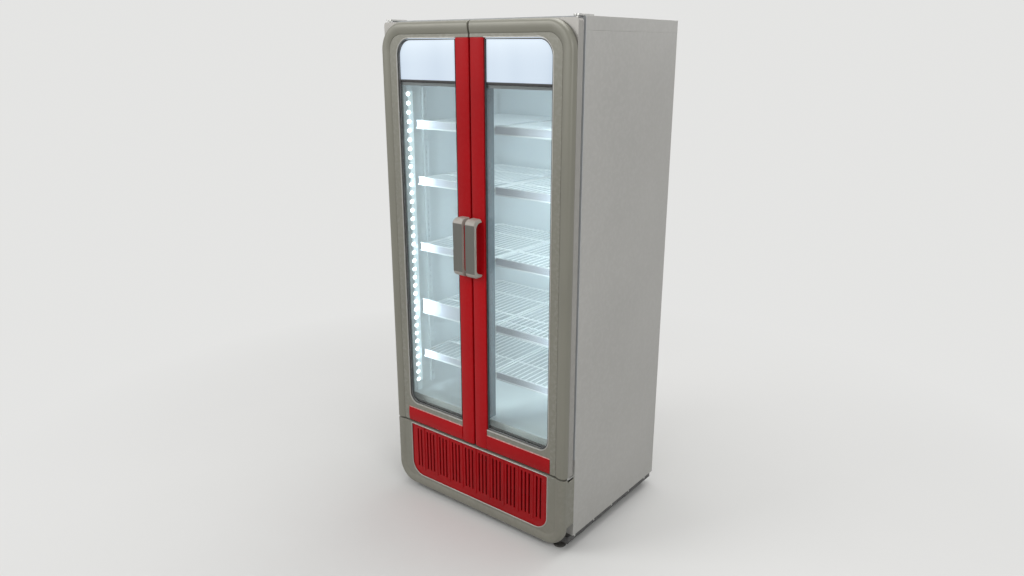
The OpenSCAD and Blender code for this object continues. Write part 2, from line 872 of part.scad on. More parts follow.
// A closed ring of the seal from depth y on, t thick, with its bar made narrower by c on each side
module seal_ring(y, t, c) {
    w = seal_w - c;
    facing(y, t) difference() {
        cornered(seal_x0 + c, seal_z0 + c, seal_x1 - c, seal_z1 - c);
        cornered(seal_x0 + w, seal_z0 + w, seal_x1 - w, seal_z1 - w);
    }
}

// The seal: a foot on the door, a soft waist and the magnet's bar
module seal() {
    waist = seal_w / 4;
    third = (seal_gap - fit) / 3;
    color(black) union() {
        seal_ring(y_door_back, third, 0);
        seal_ring(y_door_back + third, third, waist);
        seal_ring(y_door_back + 2 * third, third, 0);
    }
}

// A loop handle: its grip runs up and down, and both ends turn back to the door
module handle() {
    r = handle_out * 0.6;
    hollow_r = handle_out - grip_t - 4;
    color(silver) difference() {
        translate([x_gap - 4 - handle_w, y_front, handle_z - handle_h / 2]) intersection() {
            rotate([90, 0, 90]) linear_extrude(handle_w) difference() {
                cornered(-handle_out, 0, 8, handle_h, bl = r, tl = r);
                cornered(grip_t - handle_out, grip_t, 9, handle_h - grip_t,
                    bl = hollow_r, tl = hollow_r);
            }
            facing(-handle_out - 1, handle_out + 10)
                cornered(0, 0, handle_w, handle_h, bl = 12, br = 4, tr = 4, tl = 12);
        }
        translate([0, -fit, 0]) stile_bar();
    }
}

module left_door_core() { door_core(); }
module left_door_frame() { door_frame(); }
module left_stile() { stile(); }
module left_rail() { rail(); }
module left_transom() { transom(); }
module left_header_panel() { header_panel(); }
module left_header_housing() { header_housing(); }
module left_glass() { glass(); }
module left_glass_spacer() { glass_spacer(); }
module left_seal() { seal(); }
module left_handle() { handle(); }

module right_door_core() { mirror([1, 0, 0]) door_core(); }
module right_door_frame() { mirror([1, 0, 0]) door_frame(); }
module right_stile() { mirror([1, 0, 0]) stile(); }
module right_rail() { mirror([1, 0, 0]) rail(); }
module right_transom() { mirror([1, 0, 0]) transom(); }
module right_header_panel() { mirror([1, 0, 0]) header_panel(); }
module right_header_housing() { mirror([1, 0, 0]) header_housing(); }
module right_glass() { mirror([1, 0, 0]) glass(); }
module right_glass_spacer() { mirror([1, 0, 0]) glass_spacer(); }
module right_seal() { mirror([1, 0, 0]) seal(); }
module right_handle() { mirror([1, 0, 0]) handle(); }

left_wall();
right_wall();
rear_wall();
top_wall();
insulated_floor();
inner_liner();
centre_mullion();
mouth_strip();
base_tray();
levelling_feet();
lower_panel();
louvre_grille();
compressor();
condenser();
rear_grille();
shelf_pilasters();
shelf_clips();
left_shelves();
right_shelves();
ticket_rails();
light_strips();
evaporator_cover();
hinge_plates();
left_door_core();
left_door_frame();
left_stile();
left_rail();
left_transom();
left_header_panel();
left_header_housing();
left_glass();
left_glass_spacer();
left_seal();
left_handle();
right_door_core();
right_door_frame();
right_stile();
right_rail();
right_transom();
right_header_panel();
right_header_housing();
right_glass();
right_glass_spacer();
right_seal();
right_handle();
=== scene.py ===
import math

import bmesh
import bpy
from bpy.props import FloatProperty, FloatVectorProperty, IntProperty, PointerProperty
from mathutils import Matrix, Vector


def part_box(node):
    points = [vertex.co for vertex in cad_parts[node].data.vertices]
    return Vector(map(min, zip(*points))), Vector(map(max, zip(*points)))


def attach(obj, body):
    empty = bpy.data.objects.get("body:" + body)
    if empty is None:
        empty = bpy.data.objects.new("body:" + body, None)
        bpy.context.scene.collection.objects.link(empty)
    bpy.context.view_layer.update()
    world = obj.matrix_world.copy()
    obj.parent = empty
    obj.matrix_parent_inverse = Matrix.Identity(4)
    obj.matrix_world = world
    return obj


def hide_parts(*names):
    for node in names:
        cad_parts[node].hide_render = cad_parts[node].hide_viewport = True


bl_info = {
    "name": "Drinks Cooler",
    "version": (1, 0, 0),
    "blender": (4, 5, 0),
    "location": "View3D > Sidebar > Cooler",
    "description": "Builds a double-door drinks cooler with hinged glass doors, shelves and lights",
    "category": "Object",
}

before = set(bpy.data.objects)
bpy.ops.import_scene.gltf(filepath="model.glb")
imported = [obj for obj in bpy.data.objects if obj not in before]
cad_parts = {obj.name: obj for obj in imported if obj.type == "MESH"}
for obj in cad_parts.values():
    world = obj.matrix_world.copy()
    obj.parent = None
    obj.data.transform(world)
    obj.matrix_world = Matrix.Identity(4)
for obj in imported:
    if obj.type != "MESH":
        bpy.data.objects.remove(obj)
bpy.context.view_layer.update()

# Planes and levels that the frame gives, in metres. The left half is built, and the right one mirrors it.
X_OUT, Y_FRONT, DOOR_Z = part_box("left_door_frame")[0]
X_GAP, Y_CORE, DOOR_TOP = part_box("left_door_frame")[1]
X_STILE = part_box("left_stile")[0].x
OPEN_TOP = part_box("left_stile")[1].z
X_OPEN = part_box("left_header_panel")[0].x - 0.0003
X_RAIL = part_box("left_rail")[0].x
Y_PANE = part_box("left_glass")[0].y
RAIL_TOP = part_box("left_rail")[1].z
HEADER_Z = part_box("left_header_panel")[0].z
Y_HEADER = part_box("left_header_panel")[0].y
Y_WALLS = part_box("left_wall")[0].y
Y_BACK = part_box("rear_wall")[1].y
X_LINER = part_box("light_strips")[0].x
FRONT = (0.0, -1.0, 0.0)
BACK = (0.0, 1.0, 0.0)

SAME_POINT = 0.00002  # points of a solid that lie nearer than this are one
FLAT_ANGLE = 0.4  # faces that meet at less than this, in degrees, are one
SMOOTH_ANGLE = 50  # edges up to this, in degrees, are shaded smooth
CROWN_SHARE = 0.45  # where the band's crown lies across its width
HEAD_INSET = 0.012  # from a plate's edge to the middle of its screws
BACKGROUND = (0.78, 0.78, 0.77, 1.0)
DUST = (0.42, 0.40, 0.36, 1.0)
DUST_REACH = 0.25  # height over the floor up to which dust lies on upright faces
NODES_A_ROW = 9
NODE_PITCH = (220, 260)


class CoolerShape(bpy.types.PropertyGroup):
    """Sizes of the pieces that the frame doesn't give"""
    edge: FloatProperty(name="Edge radius", description="Rounding of sheet and moulding edges",
                        default=0.0012, min=0.0003, max=0.004, unit="LENGTH")
    band_width: FloatProperty(name="Band width", description="Width of the frame's rounded outer band",
                              default=0.045, min=0.03, max=0.05, unit="LENGTH")
    band_edge: FloatProperty(name="Band edge", description="Rounding of the band's outer edge",
                             default=0.016, min=0.005, max=0.02, unit="LENGTH")
    band_crown: FloatProperty(name="Band crown", description="Radius of the band's convex face",
                              default=0.060, min=0.04, max=0.2, unit="LENGTH")
    corner: FloatProperty(name="Frame corner", description="Radius of the doors' outer top corners",
                          default=0.105, min=0.06, max=0.12, unit="LENGTH")
    opening: FloatProperty(name="Opening corner", description="Radius of the glass opening's top corner",
                           default=0.065, min=0.03, max=0.08, unit="LENGTH")
    sill: FloatProperty(name="Sill corner", description="Radius of the glass opening's lower corner",
                        default=0.045, min=0.02, max=0.06, unit="LENGTH")
    bead: FloatProperty(name="Sill bead", description="Height of the pale strip over the red foot rail",
                        default=0.024, min=0.01, max=0.04, unit="LENGTH")
    gasket: FloatProperty(name="Gasket", description="Thickness of the dark gasket that lines an opening",
                          default=0.002, min=0.001, max=0.004, unit="LENGTH")
    led_pitch: FloatProperty(name="Light pitch", description="Distance between the lights of a strip",
                             default=0.036, min=0.015, max=0.05, unit="LENGTH")
    led_height: FloatProperty(name="Light height", description="Height of one light's lens",
                              default=0.017, min=0.006, max=0.02, unit="LENGTH")
    led_width: FloatProperty(name="Light width", description="Width of one light's lens",
                             default=0.022, min=0.006, max=0.030, unit="LENGTH")
    frame_wire: FloatProperty(name="Frame wire", description="Radius of a shelf's frame wire",
                              default=0.003, min=0.002, max=0.004, unit="LENGTH")
    thin_wire: FloatProperty(name="Thin wire", description="Radius of a shelf's thin wires",
                             default=0.0017, min=0.001, max=0.002, unit="LENGTH")
    wires: IntProperty(name="Wires", description="Number of thin wires in a shelf",
                       default=14, min=6, max=30)
    guard_rings: IntProperty(name="Guard rings", description="Number of rings in a fan guard",
                             default=8, min=3, max=16)
    screw: FloatProperty(name="Screw radius", description="Radius of a screw's head",
                         default=0.0045, min=0.002, max=0.008, unit="LENGTH")


class CoolerColours(bpy.types.PropertyGroup):
    """Colours of the finishes"""
    silver: FloatVectorProperty(name="Silver", description="Lacquer of the door frames and lower panel",
                                default=(0.235, 0.230, 0.190), size=3, min=0, max=1, subtype="COLOR")
    handle: FloatVectorProperty(name="Handle", description="Plastic of the handles",
                                default=(0.40, 0.37, 0.33), size=3, min=0, max=1, subtype="COLOR")
    steel: FloatVectorProperty(name="Cabinet", description="Paint of the cabinet's sheet steel",
                               default=(0.46, 0.455, 0.435), size=3, min=0, max=1, subtype="COLOR")
    red: FloatVectorProperty(name="Red", description="Plastic of the stiles, foot rails and grille",
                             default=(0.46, 0.002, 0.006), size=3, min=0, max=1, subtype="COLOR")
    lining: FloatVectorProperty(name="Lining", description="White of the cold space",
                                default=(0.56, 0.61, 0.64), size=3, min=0, max=1, subtype="COLOR")
    light: FloatVectorProperty(name="Light", description="Tint of the lights",
                               default=(0.82, 0.93, 1.0), size=3, min=0, max=1, subtype="COLOR")


class CoolerStage(bpy.types.PropertyGroup):
    """Camera and lamps"""
    camera: FloatVectorProperty(name="Camera", description="Place of the camera",
                                default=(1.915, -2.491, 1.89), size=3, subtype="TRANSLATION")
    aim: FloatVectorProperty(name="Aim", description="Point that the camera looks at",
                             default=(0.03, -0.12, 0.965), size=3, subtype="TRANSLATION")
    lens: FloatProperty(name="Lens", description="Focal length of the camera",
                        default=27.5, min=10, max=200, unit="CAMERA")
    key: FloatProperty(name="Key power", description="Power of the large lamp at the front left",
                       default=95, min=0, unit="POWER")
    fill: FloatProperty(name="Fill power", description="Power of the lamp at the front right",
                        default=55, min=0, unit="POWER")
    top: FloatProperty(name="Top power", description="Power of the lamp overhead",
                       default=60, min=0, unit="POWER")
    inside: FloatProperty(name="Inside power", description="Power of each lamp beside a light strip",
                          default=3.0, min=0, unit="POWER")
    sky: FloatProperty(name="Sky", description="Strength of the even light from all round",
                       default=0.34, min=0, max=2)


# Objects and meshes

def link(name, data):
    """A new object in the scene."""
    piece = bpy.data.objects.new(name, data)
    bpy.context.scene.collection.objects.link(piece)
    return piece


def from_bmesh(name, shape):
    """A new object from an edited mesh, which is freed."""
    mesh = bpy.data.meshes.new(name)
    shape.to_mesh(mesh)
    shape.free()
    return link(name, mesh)


def baked(piece):
    """The object with what its modifiers make as its plain mesh."""
    graph = bpy.context.evaluated_depsgraph_get()
    mesh = bpy.data.meshes.new_from_object(piece.evaluated_get(graph))
    name = piece.name
    old = piece.data
    bpy.data.objects.remove(piece)
    if isinstance(old, bpy.types.Mesh):
        bpy.data.meshes.remove(old)
    else:
        bpy.data.curves.remove(old)
    mesh.name = name
    return link(name, mesh)


def bevelled(piece, width, segments=2, angle=38):
    """The piece with its sharp edges rounded."""
    if width <= 0:
        return piece
    rounding = piece.modifiers.new("Rounding", "BEVEL")
    rounding.width = width
    rounding.segments = segments
    rounding.limit_method = "ANGLE"
    rounding.angle_limit = math.radians(angle)
    return baked(piece)


def softened(node_name, name, width, segments=2, angle=38):
    """A copy of a frame node with merged points and rounded edges."""
    shape = bmesh.new()
    shape.from_mesh(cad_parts[node_name].data)
    bmesh.ops.remove_doubles(shape, verts=shape.verts, dist=SAME_POINT)
    bmesh.ops.dissolve_limit(shape, angle_limit=math.radians(FLAT_ANGLE), verts=shape.verts,
                             edges=shape.edges)
    piece = from_bmesh(name, shape)
    piece.data.materials.clear()
    return bevelled(piece, width, segments, angle)


def mirrored(piece, name):
    """The same piece on the other half."""
    shape = bmesh.new()
    shape.from_mesh(piece.data)
    for vertex in shape.verts:
        vertex.co.x = -vertex.co.x
    bmesh.ops.reverse_faces(shape, faces=shape.faces)
    return from_bmesh(name, shape)


def joined(name, pieces):
    """One object from several."""
    shape = bmesh.new()
    for piece in pieces:
        shape.from_mesh(piece.data)
        bpy.data.objects.remove(piece)
    return from_bmesh(name, shape)


def dressed(piece, body, look, replaces=()):
    """The piece with its finish and smooth faces, riding on its body."""
    piece.data.shade_smooth()
    piece.data.set_sharp_from_angle(angle=math.radians(SMOOTH_ANGLE))
    even = piece.modifiers.new("Even normals", "WEIGHTED_NORMAL")
    even.keep_sharp = True
    piece = baked(piece)
    piece.data.materials.clear()
    piece.data.materials.append(finish(look))
    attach(piece, body)
    if replaces:
        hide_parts(*replaces)


def on_both_doors(piece, name, look, nodes=()):
    """The left door's piece and its mirror image on the right one, each in place of its nodes."""
    other = mirrored(piece, "right_" + name)
    piece.name = "left_" + name
    for side, half in (("left_", piece), ("right_", other)):
        dressed(half, side + "door", look, [side + n for n in nodes])


def painted(node_name, look):
    """A frame node that keeps its shape and gets a finish."""
    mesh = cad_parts[node_name].data
    mesh.materials.clear()
    mesh.materials.append(finish(look))


def rounded(corners, closed=True, steps=12):
    """Points along an outline whose corners are (x, z, radius)."""
    points = []
    count = len(corners)
    for i, (x, z, radius) in enumerate(corners):
        here = Vector((x, z))
        if radius == 0 or (not closed and i in (0, count - 1)):
            points.append((x, z))
            continue
        before = (Vector(corners[i - 1][:2]) - here).normalized()
        after = (Vector(corners[(i + 1) % count][:2]) - here).normalized()
        half = before.angle(after) / 2
        centre = here + (before + after).normalized() * radius / math.sin(half)
        start = here + before * radius / math.tan(half) - centre
        end = here + after * radius / math.tan(half) - centre
        turn = start.angle(end) if start.cross(end) > 0 else -start.angle(end)
        first = math.atan2(start.y, start.x)
        for k in range(steps + 1):
            a = first + turn * k / steps
            points.append((centre.x + radius * math.cos(a), centre.y + radius * math.sin(a)))
    return points


def rectangle(x0, z0, x1, z1):
    """Corners of a rectangle."""
    return [(x0, z0), (x1, z0), (x1, z1), (x0, z1)]


def ring(radius, count=12):
    """A round section."""
    return [(radius * math.cos(k * math.tau / count), radius * math.sin(k * math.tau / count))
            for k in range(count)]


def extruded(name, corners, way, edge=0.0):
    """A flat face drawn out along a vector, with rounded edges."""
    shape = bmesh.new()
    face = shape.faces.new([shape.verts.new(corner) for corner in corners])
    made = bmesh.ops.extrude_face_region(shape, geom=[face])["geom"]
    moved = [v for v in made if isinstance(v, bmesh.types.BMVert)]
    bmesh.ops.translate(shape, verts=moved, vec=way)
    bmesh.ops.recalc_face_normals(shape, faces=shape.faces)
    return bevelled(from_bmesh(name, shape), edge)


def plate(name, outline, y, depth, edge=0.0):
    """A flat piece: an outline of (x, z) points from the depth y backwards."""
    return extruded(name, [(x, y, z) for x, z in outline], (0, depth, 0), edge)


def polyline(name, points, closed=False):
    """A curve object through points."""
    curve = bpy.data.curves.new(name, "CURVE")
    curve.dimensions = "3D"
    line = curve.splines.new("POLY")
    line.points.add(len(points) - 1)
    for point, place in zip(line.points, points):
        point.co = (*place, 1.0)
    line.use_cyclic_u = closed
    return link(name, curve)


# Node trees

def add(tree, kind, inputs=None, **settings):
    """Adds a node with its settings, and links or sets its inputs by name or number."""
    made = tree.nodes.new(kind)
    row, column = divmod(len(tree.nodes), NODES_A_ROW)
    made.location = (NODE_PITCH[0] * column, -NODE_PITCH[1] * row)
    for key, value in settings.items():
        setattr(made, key, value)
    for key, value in (inputs or {}).items():
        socket = made.inputs[key]
        if isinstance(value, bpy.types.NodeSocket):
            tree.links.new(value, socket)
        else:
            socket.default_value = value
    return made


def out(tree, kind, inputs=None, **settings):
    """First output of a new node."""
    return add(tree, kind, inputs, **settings).outputs[0]


def maths(tree, operation, a, b=0.0, clamp=False):
    """Result of one operation on two values."""
    return out(tree, "ShaderNodeMath", {0: a, 1: b}, operation=operation, use_clamp=clamp)


def times(tree, a, b, clamp=False):
    """One value times another."""
    return maths(tree, "MULTIPLY", a, b, clamp)


def remapped(tree, value, low, high):
    """0 to 1 for a value between two levels, held at its ends."""
    return out(tree, "ShaderNodeMapRange", {"Value": value, "From Min": low, "From Max": high})


def mixed(tree, factor, a, b):
    """One colour over another."""
    return add(tree, "ShaderNodeMix", {0: factor, 6: a, 7: b}, data_type="RGBA").outputs[2]


def object_place(tree):
    """Where a point lies on its object."""
    return add(tree, "ShaderNodeTexCoord").outputs["Object"]


def part_of(tree, vector, axis):
    """One part of a vector."""
    return add(tree, "ShaderNodeSeparateXYZ", {0: vector}).outputs[axis]


def stretched(tree, vector, scale, **more):
    """A vector made longer or shorter along each axis."""
    return out(tree, "ShaderNodeMapping", {"Vector": vector, "Scale": scale, **more})


def noise(tree, vector, scale, detail, **more):
    """Soft noise between 0 and 1."""
    return out(tree, "ShaderNodeTexNoise", {"Vector": vector, "Scale": scale, "Detail": detail, **more})


def new_tree(kind, inputs, outputs):
    """A node tree with named inputs and outputs, and its input and output nodes."""
    tree = bpy.data.node_groups.new("tree", kind + "NodeTree")
    for label, socket_kind, *default in inputs:
        socket = tree.interface.new_socket(label, in_out="INPUT", socket_type="NodeSocket" + socket_kind)
        if default:
            socket.default_value = default[0]
    for label, socket_kind in outputs:
        tree.interface.new_socket(label, in_out="OUTPUT", socket_type="NodeSocket" + socket_kind)
    return tree, tree.nodes.new("NodeGroupInput").outputs, tree.nodes.new("NodeGroupOutput").inputs


def node_group(maker):
    """The node tree of a maker function, made once and named after it."""
    known = bpy.data.node_groups.get(maker.__name__)
    if known:
        return known
    tree = maker()
    tree.name = maker.__name__
    return tree


# Geometry trees

def geometry_tree(inputs):
    """A Geometry Nodes tree that takes and gives geometry."""
    geometry = [("Geometry", "Geometry")]
    return new_tree("Geometry", geometry + inputs + [("Finish", "Material")], geometry)


def close_tree(tree, given, result, geometry):
    """Ends a tree with real geometry and its finish."""
    real = out(tree, "GeometryNodeRealizeInstances", {"Geometry": geometry})
    coated = out(tree, "GeometryNodeSetMaterial", {"Geometry": real, "Material": given["Finish"]})
    tree.links.new(coated, result["Geometry"])
    return tree


def geometry_of(tree, piece):
    """The geometry of an object that a tree is given."""
    return add(tree, "GeometryNodeObjectInfo", {"Object": piece}).outputs["Geometry"]


def circle(tree, resolution, radius):
    """A round line."""
    return out(tree, "GeometryNodeCurvePrimitiveCircle", {"Resolution": resolution, "Radius": radius})


def filleted(tree, curve, count, radius):
    """A line whose corners are bent round."""
    return out(tree, "GeometryNodeFilletCurve", {"Curve": curve, "Count": count, "Radius": radius},
               mode="POLY")


def tube(tree, curve, section, caps=False):
    """A section carried along a line."""
    return out(tree, "GeometryNodeCurveToMesh",
               {"Curve": curve, "Profile Curve": section, "Fill Caps": caps})


def row_of(tree, count, step, **more):
    """Points in an even row."""
    return out(tree, "GeometryNodeMeshLine", {"Count": count, "Offset": step, **more})


def copied(tree, points, piece, **more):
    """A piece on every point."""
    return out(tree, "GeometryNodeInstanceOnPoints", {"Points": points, "Instance": piece, **more})


def gathered(tree, *parts):
    """Several geometries as one."""
    join = add(tree, "GeometryNodeJoinGeometry")
    for part in parts:
        tree.links.new(part, join.inputs[0])
    return join.outputs[0]


def sweep_tree():
    """Carries a section along a path. The section's x runs along Facing."""
    tree, given, result = geometry_tree([("Section", "Object"), ("Facing", "Vector"), ("Caps", "Bool")])
    turned = out(tree, "GeometryNodeSetCurveNormal",
                 {"Curve": given["Geometry"], "Normal": given["Facing"]}, mode="FREE")
    section = geometry_of(tree, given["Section"])
    return close_tree(tree, given, result, tube(tree, turned, section, given["Caps"]))


def row_tree():
    """Copies of a piece in an even row."""
    tree, given, result = geometry_tree([("Count", "Int", 2), ("Step", "Vector")])
    places = row_of(tree, given["Count"], given["Step"])
    return close_tree(tree, given, result, copied(tree, places, given["Geometry"]))


def scatter_tree():
    """Sets a small piece on every point, with its z along the point's facing."""
    tree, given, result = geometry_tree([("Piece", "Object")])
    facing = out(tree, "GeometryNodeInputNamedAttribute", {"Name": "facing"}, data_type="FLOAT_VECTOR")
    turn = out(tree, "FunctionNodeAlignRotationToVector", {"Vector": facing}, axis="Z")
    piece = geometry_of(tree, given["Piece"])
    return close_tree(tree, given, result, copied(tree, given["Geometry"], piece, Rotation=turn))


def rack_tree():
    """Stacked wire shelves: a rod's path is repeated across a rounded frame with two cross rods."""
    tree, given, result = geometry_tree([
        ("Width", "Float"), ("Depth", "Float"), ("Centre", "Vector"), ("Corner", "Float"),
        ("Rods", "Int"), ("Rod Step", "Vector"), ("Brace Step", "Vector"),
        ("Frame Radius", "Float"), ("Rod Radius", "Float"), ("Levels", "Object")])
    thick = circle(tree, 12, given["Frame Radius"])
    rod = tube(tree, given["Geometry"], circle(tree, 8, given["Rod Radius"]), True)
    rods = copied(tree, row_of(tree, given["Rods"], given["Rod Step"]), rod)
    outline = out(tree, "GeometryNodeCurvePrimitiveQuadrilateral",
                  {"Width": given["Width"], "Height": given["Depth"]})
    rim = tube(tree, filleted(tree, outline, 6, given["Corner"]), thick)
    left, right = [out(tree, "ShaderNodeCombineXYZ", {"X": times(tree, given["Width"], share)})
                   for share in (-0.5, 0.5)]
    brace = tube(tree, out(tree, "GeometryNodeCurvePrimitiveLine", {"Start": left, "End": right}), thick)
    start = out(tree, "ShaderNodeVectorMath", {0: given["Brace Step"], 1: (-0.5, -0.5, -0.5)},
                operation="MULTIPLY")
    spots = row_of(tree, 2, given["Brace Step"], **{"Start Location": start})
    rods_across = gathered(tree, rim, copied(tree, spots, brace))
    placed = out(tree, "GeometryNodeTransform", {"Geometry": rods_across, "Translation": given["Centre"]})
    stack = copied(tree, geometry_of(tree, given["Levels"]), gathered(tree, rods, placed))
    return close_tree(tree, given, result, stack)


def pipe_tree():
    """A round pipe along a path whose corners it bends round."""
    tree, given, result = geometry_tree([("Radius", "Float"), ("Bend", "Float")])
    bent = filleted(tree, given["Geometry"], 8, given["Bend"])
    return close_tree(tree, given, result, tube(tree, bent, circle(tree, 10, given["Radius"]), True))


def guard_tree():
    """A round wire guard with rings and spokes on every point."""
    tree, given, result = geometry_tree([
        ("Radius", "Float"), ("Wire", "Float"), ("Rings", "Int"), ("Spokes", "Int")])
    index = out(tree, "GeometryNodeInputIndex")
    share = maths(tree, "DIVIDE", maths(tree, "ADD", index, 1.0), given["Rings"])
    rings = copied(tree, out(tree, "GeometryNodePoints", {"Count": given["Rings"]}),
                   circle(tree, 48, given["Radius"]), Scale=share)
    tip = out(tree, "ShaderNodeCombineXYZ", {"X": given["Radius"]})
    angle = maths(tree, "DIVIDE", times(tree, index, math.tau), given["Spokes"])
    spokes = copied(tree, out(tree, "GeometryNodePoints", {"Count": given["Spokes"]}),
                    out(tree, "GeometryNodeCurvePrimitiveLine", {"End": tip}),
                    Rotation=out(tree, "ShaderNodeCombineXYZ", {"Z": angle}))
    lines = out(tree, "GeometryNodeRealizeInstances", {"Geometry": gathered(tree, rings, spokes)})
    wires = tube(tree, lines, circle(tree, 6, given["Wire"]))
    return close_tree(tree, given, result, copied(tree, given["Geometry"], wires))


def grown(subject, maker, **values):
    """What a Geometry Nodes tree makes of a piece, as a plain mesh. Spaces in names are written as _."""
    modifier = subject.modifiers.new("Build", "NODES")
    modifier.node_group = node_group(maker)
    for item in modifier.node_group.interface.items_tree:
        key = item.name.replace(" ", "_").lower()
        if item.in_out == "INPUT" and key in values:
            modifier[item.identifier] = values[key]
    return baked(subject)


def swept(name, path, section, facing, closed=False):
    """A section carried along a path of points."""
    outline = polyline(name + "_section", [(a, b, 0.0) for a, b in section], True)
    piece = grown(polyline(name, path, closed), sweep_tree, section=outline, facing=facing,
                  caps=not closed)
    bpy.data.objects.remove(outline)
    return piece


def piped(name, path, radius, bend):
    """A round pipe along a path of points."""
    return grown(polyline(name, path), pipe_tree, radius=radius, bend=bend)


def dots(name, points):
    """An object of loose points."""
    mesh = bpy.data.meshes.new(name)
    mesh.from_pydata(points, [], [])
    return link(name, mesh)


def scattered(name, places, piece):
    """A small piece set on (point, facing) places."""
    spots = dots(name, [point for point, _ in places])
    facing = spots.data.attributes.new("facing", "FLOAT_VECTOR", "POINT")
    for item, (_, way) in zip(facing.data, places):
        item.vector = way
    made = grown(spots, scatter_tree, piece=piece)
    bpy.data.objects.remove(piece)
    return made


def stacked(node_name, side=0, gap=0.06):
    """Heights (low, high) of the solids that are stacked in a frame node, on one side or on both."""
    spans = []
    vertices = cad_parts[node_name].data.vertices
    for z in sorted(v.co.z for v in vertices if v.co.x * side >= 0):
        if spans and z - spans[-1][1] < gap:
            spans[-1][1] = z
        else:
            spans.append([z, z])
    return spans


# Effects that several finishes share

def tone_group():
    """A colour that drifts slowly towards a shade."""
    tree, given, result = new_tree("Shader", [
        ("Colour", "Color", (0.5, 0.5, 0.5, 1)), ("Shade", "Color", (0.4, 0.4, 0.4, 1)),
        ("Scale", "Float", 3.0), ("Amount", "Float", 0.5)], [("Colour", "Color")])
    cloud = noise(tree, object_place(tree), given["Scale"], 5.0, Roughness=0.55)
    share = times(tree, remapped(tree, cloud, 0.35, 0.70), given["Amount"])
    tree.links.new(mixed(tree, share, given["Colour"], given["Shade"]), result["Colour"])
    return tree


def grain_group():
    """Fine grain, which can be drawn out along an axis."""
    tree, given, result = new_tree("Shader", [
        ("Scale", "Float", 600.0), ("Stretch", "Vector", (1, 1, 1))], [("Height", "Float")])
    drawn = stretched(tree, object_place(tree), given["Stretch"])
    tree.links.new(noise(tree, drawn, given["Scale"], 3.0), result["Height"])
    return tree


def dust_group():
    """Dust on what faces up and near the floor."""
    tree, given, result = new_tree("Shader", [
        ("Amount", "Float", 0.3), ("Reach", "Float", 0.25)], [("Mask", "Float")])
    place = object_place(tree)
    up = part_of(tree, add(tree, "ShaderNodeNewGeometry").outputs["Normal"], "Z")
    lying = remapped(tree, up, 0.55, 1.0)
    rise = maths(tree, "DIVIDE", part_of(tree, place, "Z"), given["Reach"])
    low = maths(tree, "SUBTRACT", 1.0, rise, True)
    both = maths(tree, "MAXIMUM", lying, times(tree, low, 0.8))
    broken = remapped(tree, noise(tree, place, 45.0, 6.0), 0.32, 0.72)
    tree.links.new(times(tree, times(tree, both, broken), given["Amount"], True), result["Mask"])
    return tree


def wear_group():
    """Rubbed edges, broken up by noise."""
    tree, given, result = new_tree("Shader", [("Amount", "Float", 0.3)], [("Mask", "Float")])
    sharp = add(tree, "ShaderNodeNewGeometry").outputs["Pointiness"]
    edge = remapped(tree, sharp, 0.515, 0.60)
    broken = remapped(tree, noise(tree, object_place(tree), 70.0, 4.0), 0.45, 0.62)
    tree.links.new(times(tree, times(tree, edge, broken), given["Amount"], True), result["Mask"])
    return tree


def marks_group():
    """Wiped smears and hairline scratches that change how rough a surface is."""
    tree, given, result = new_tree("Shader", [
        ("Roughness", "Float", 0.4), ("Amount", "Float", 0.1)], [("Roughness", "Float")])
    place = object_place(tree)
    smear = noise(tree, stretched(tree, place, (6.0, 6.0, 1.6)), 1.3, 7.0, Distortion=0.6)
    hair = stretched(tree, place, (900.0, 900.0, 14.0), Rotation=(0.5, 0.3, 0.2))
    scratch = remapped(tree, noise(tree, hair, 1.0, 1.0), 0.68, 0.74)
    shift = maths(tree, "ADD", maths(tree, "SUBTRACT", smear, 0.5), times(tree, scratch, 0.6))
    total = maths(tree, "ADD", given["Roughness"], times(tree, shift, given["Amount"]), True)
    tree.links.new(total, result["Roughness"])
    return tree


def use(tree, maker, **inputs):
    """Places a shared effect in a finish."""
    return out(tree, "ShaderNodeGroup", inputs, node_tree=node_group(maker))


# Finishes

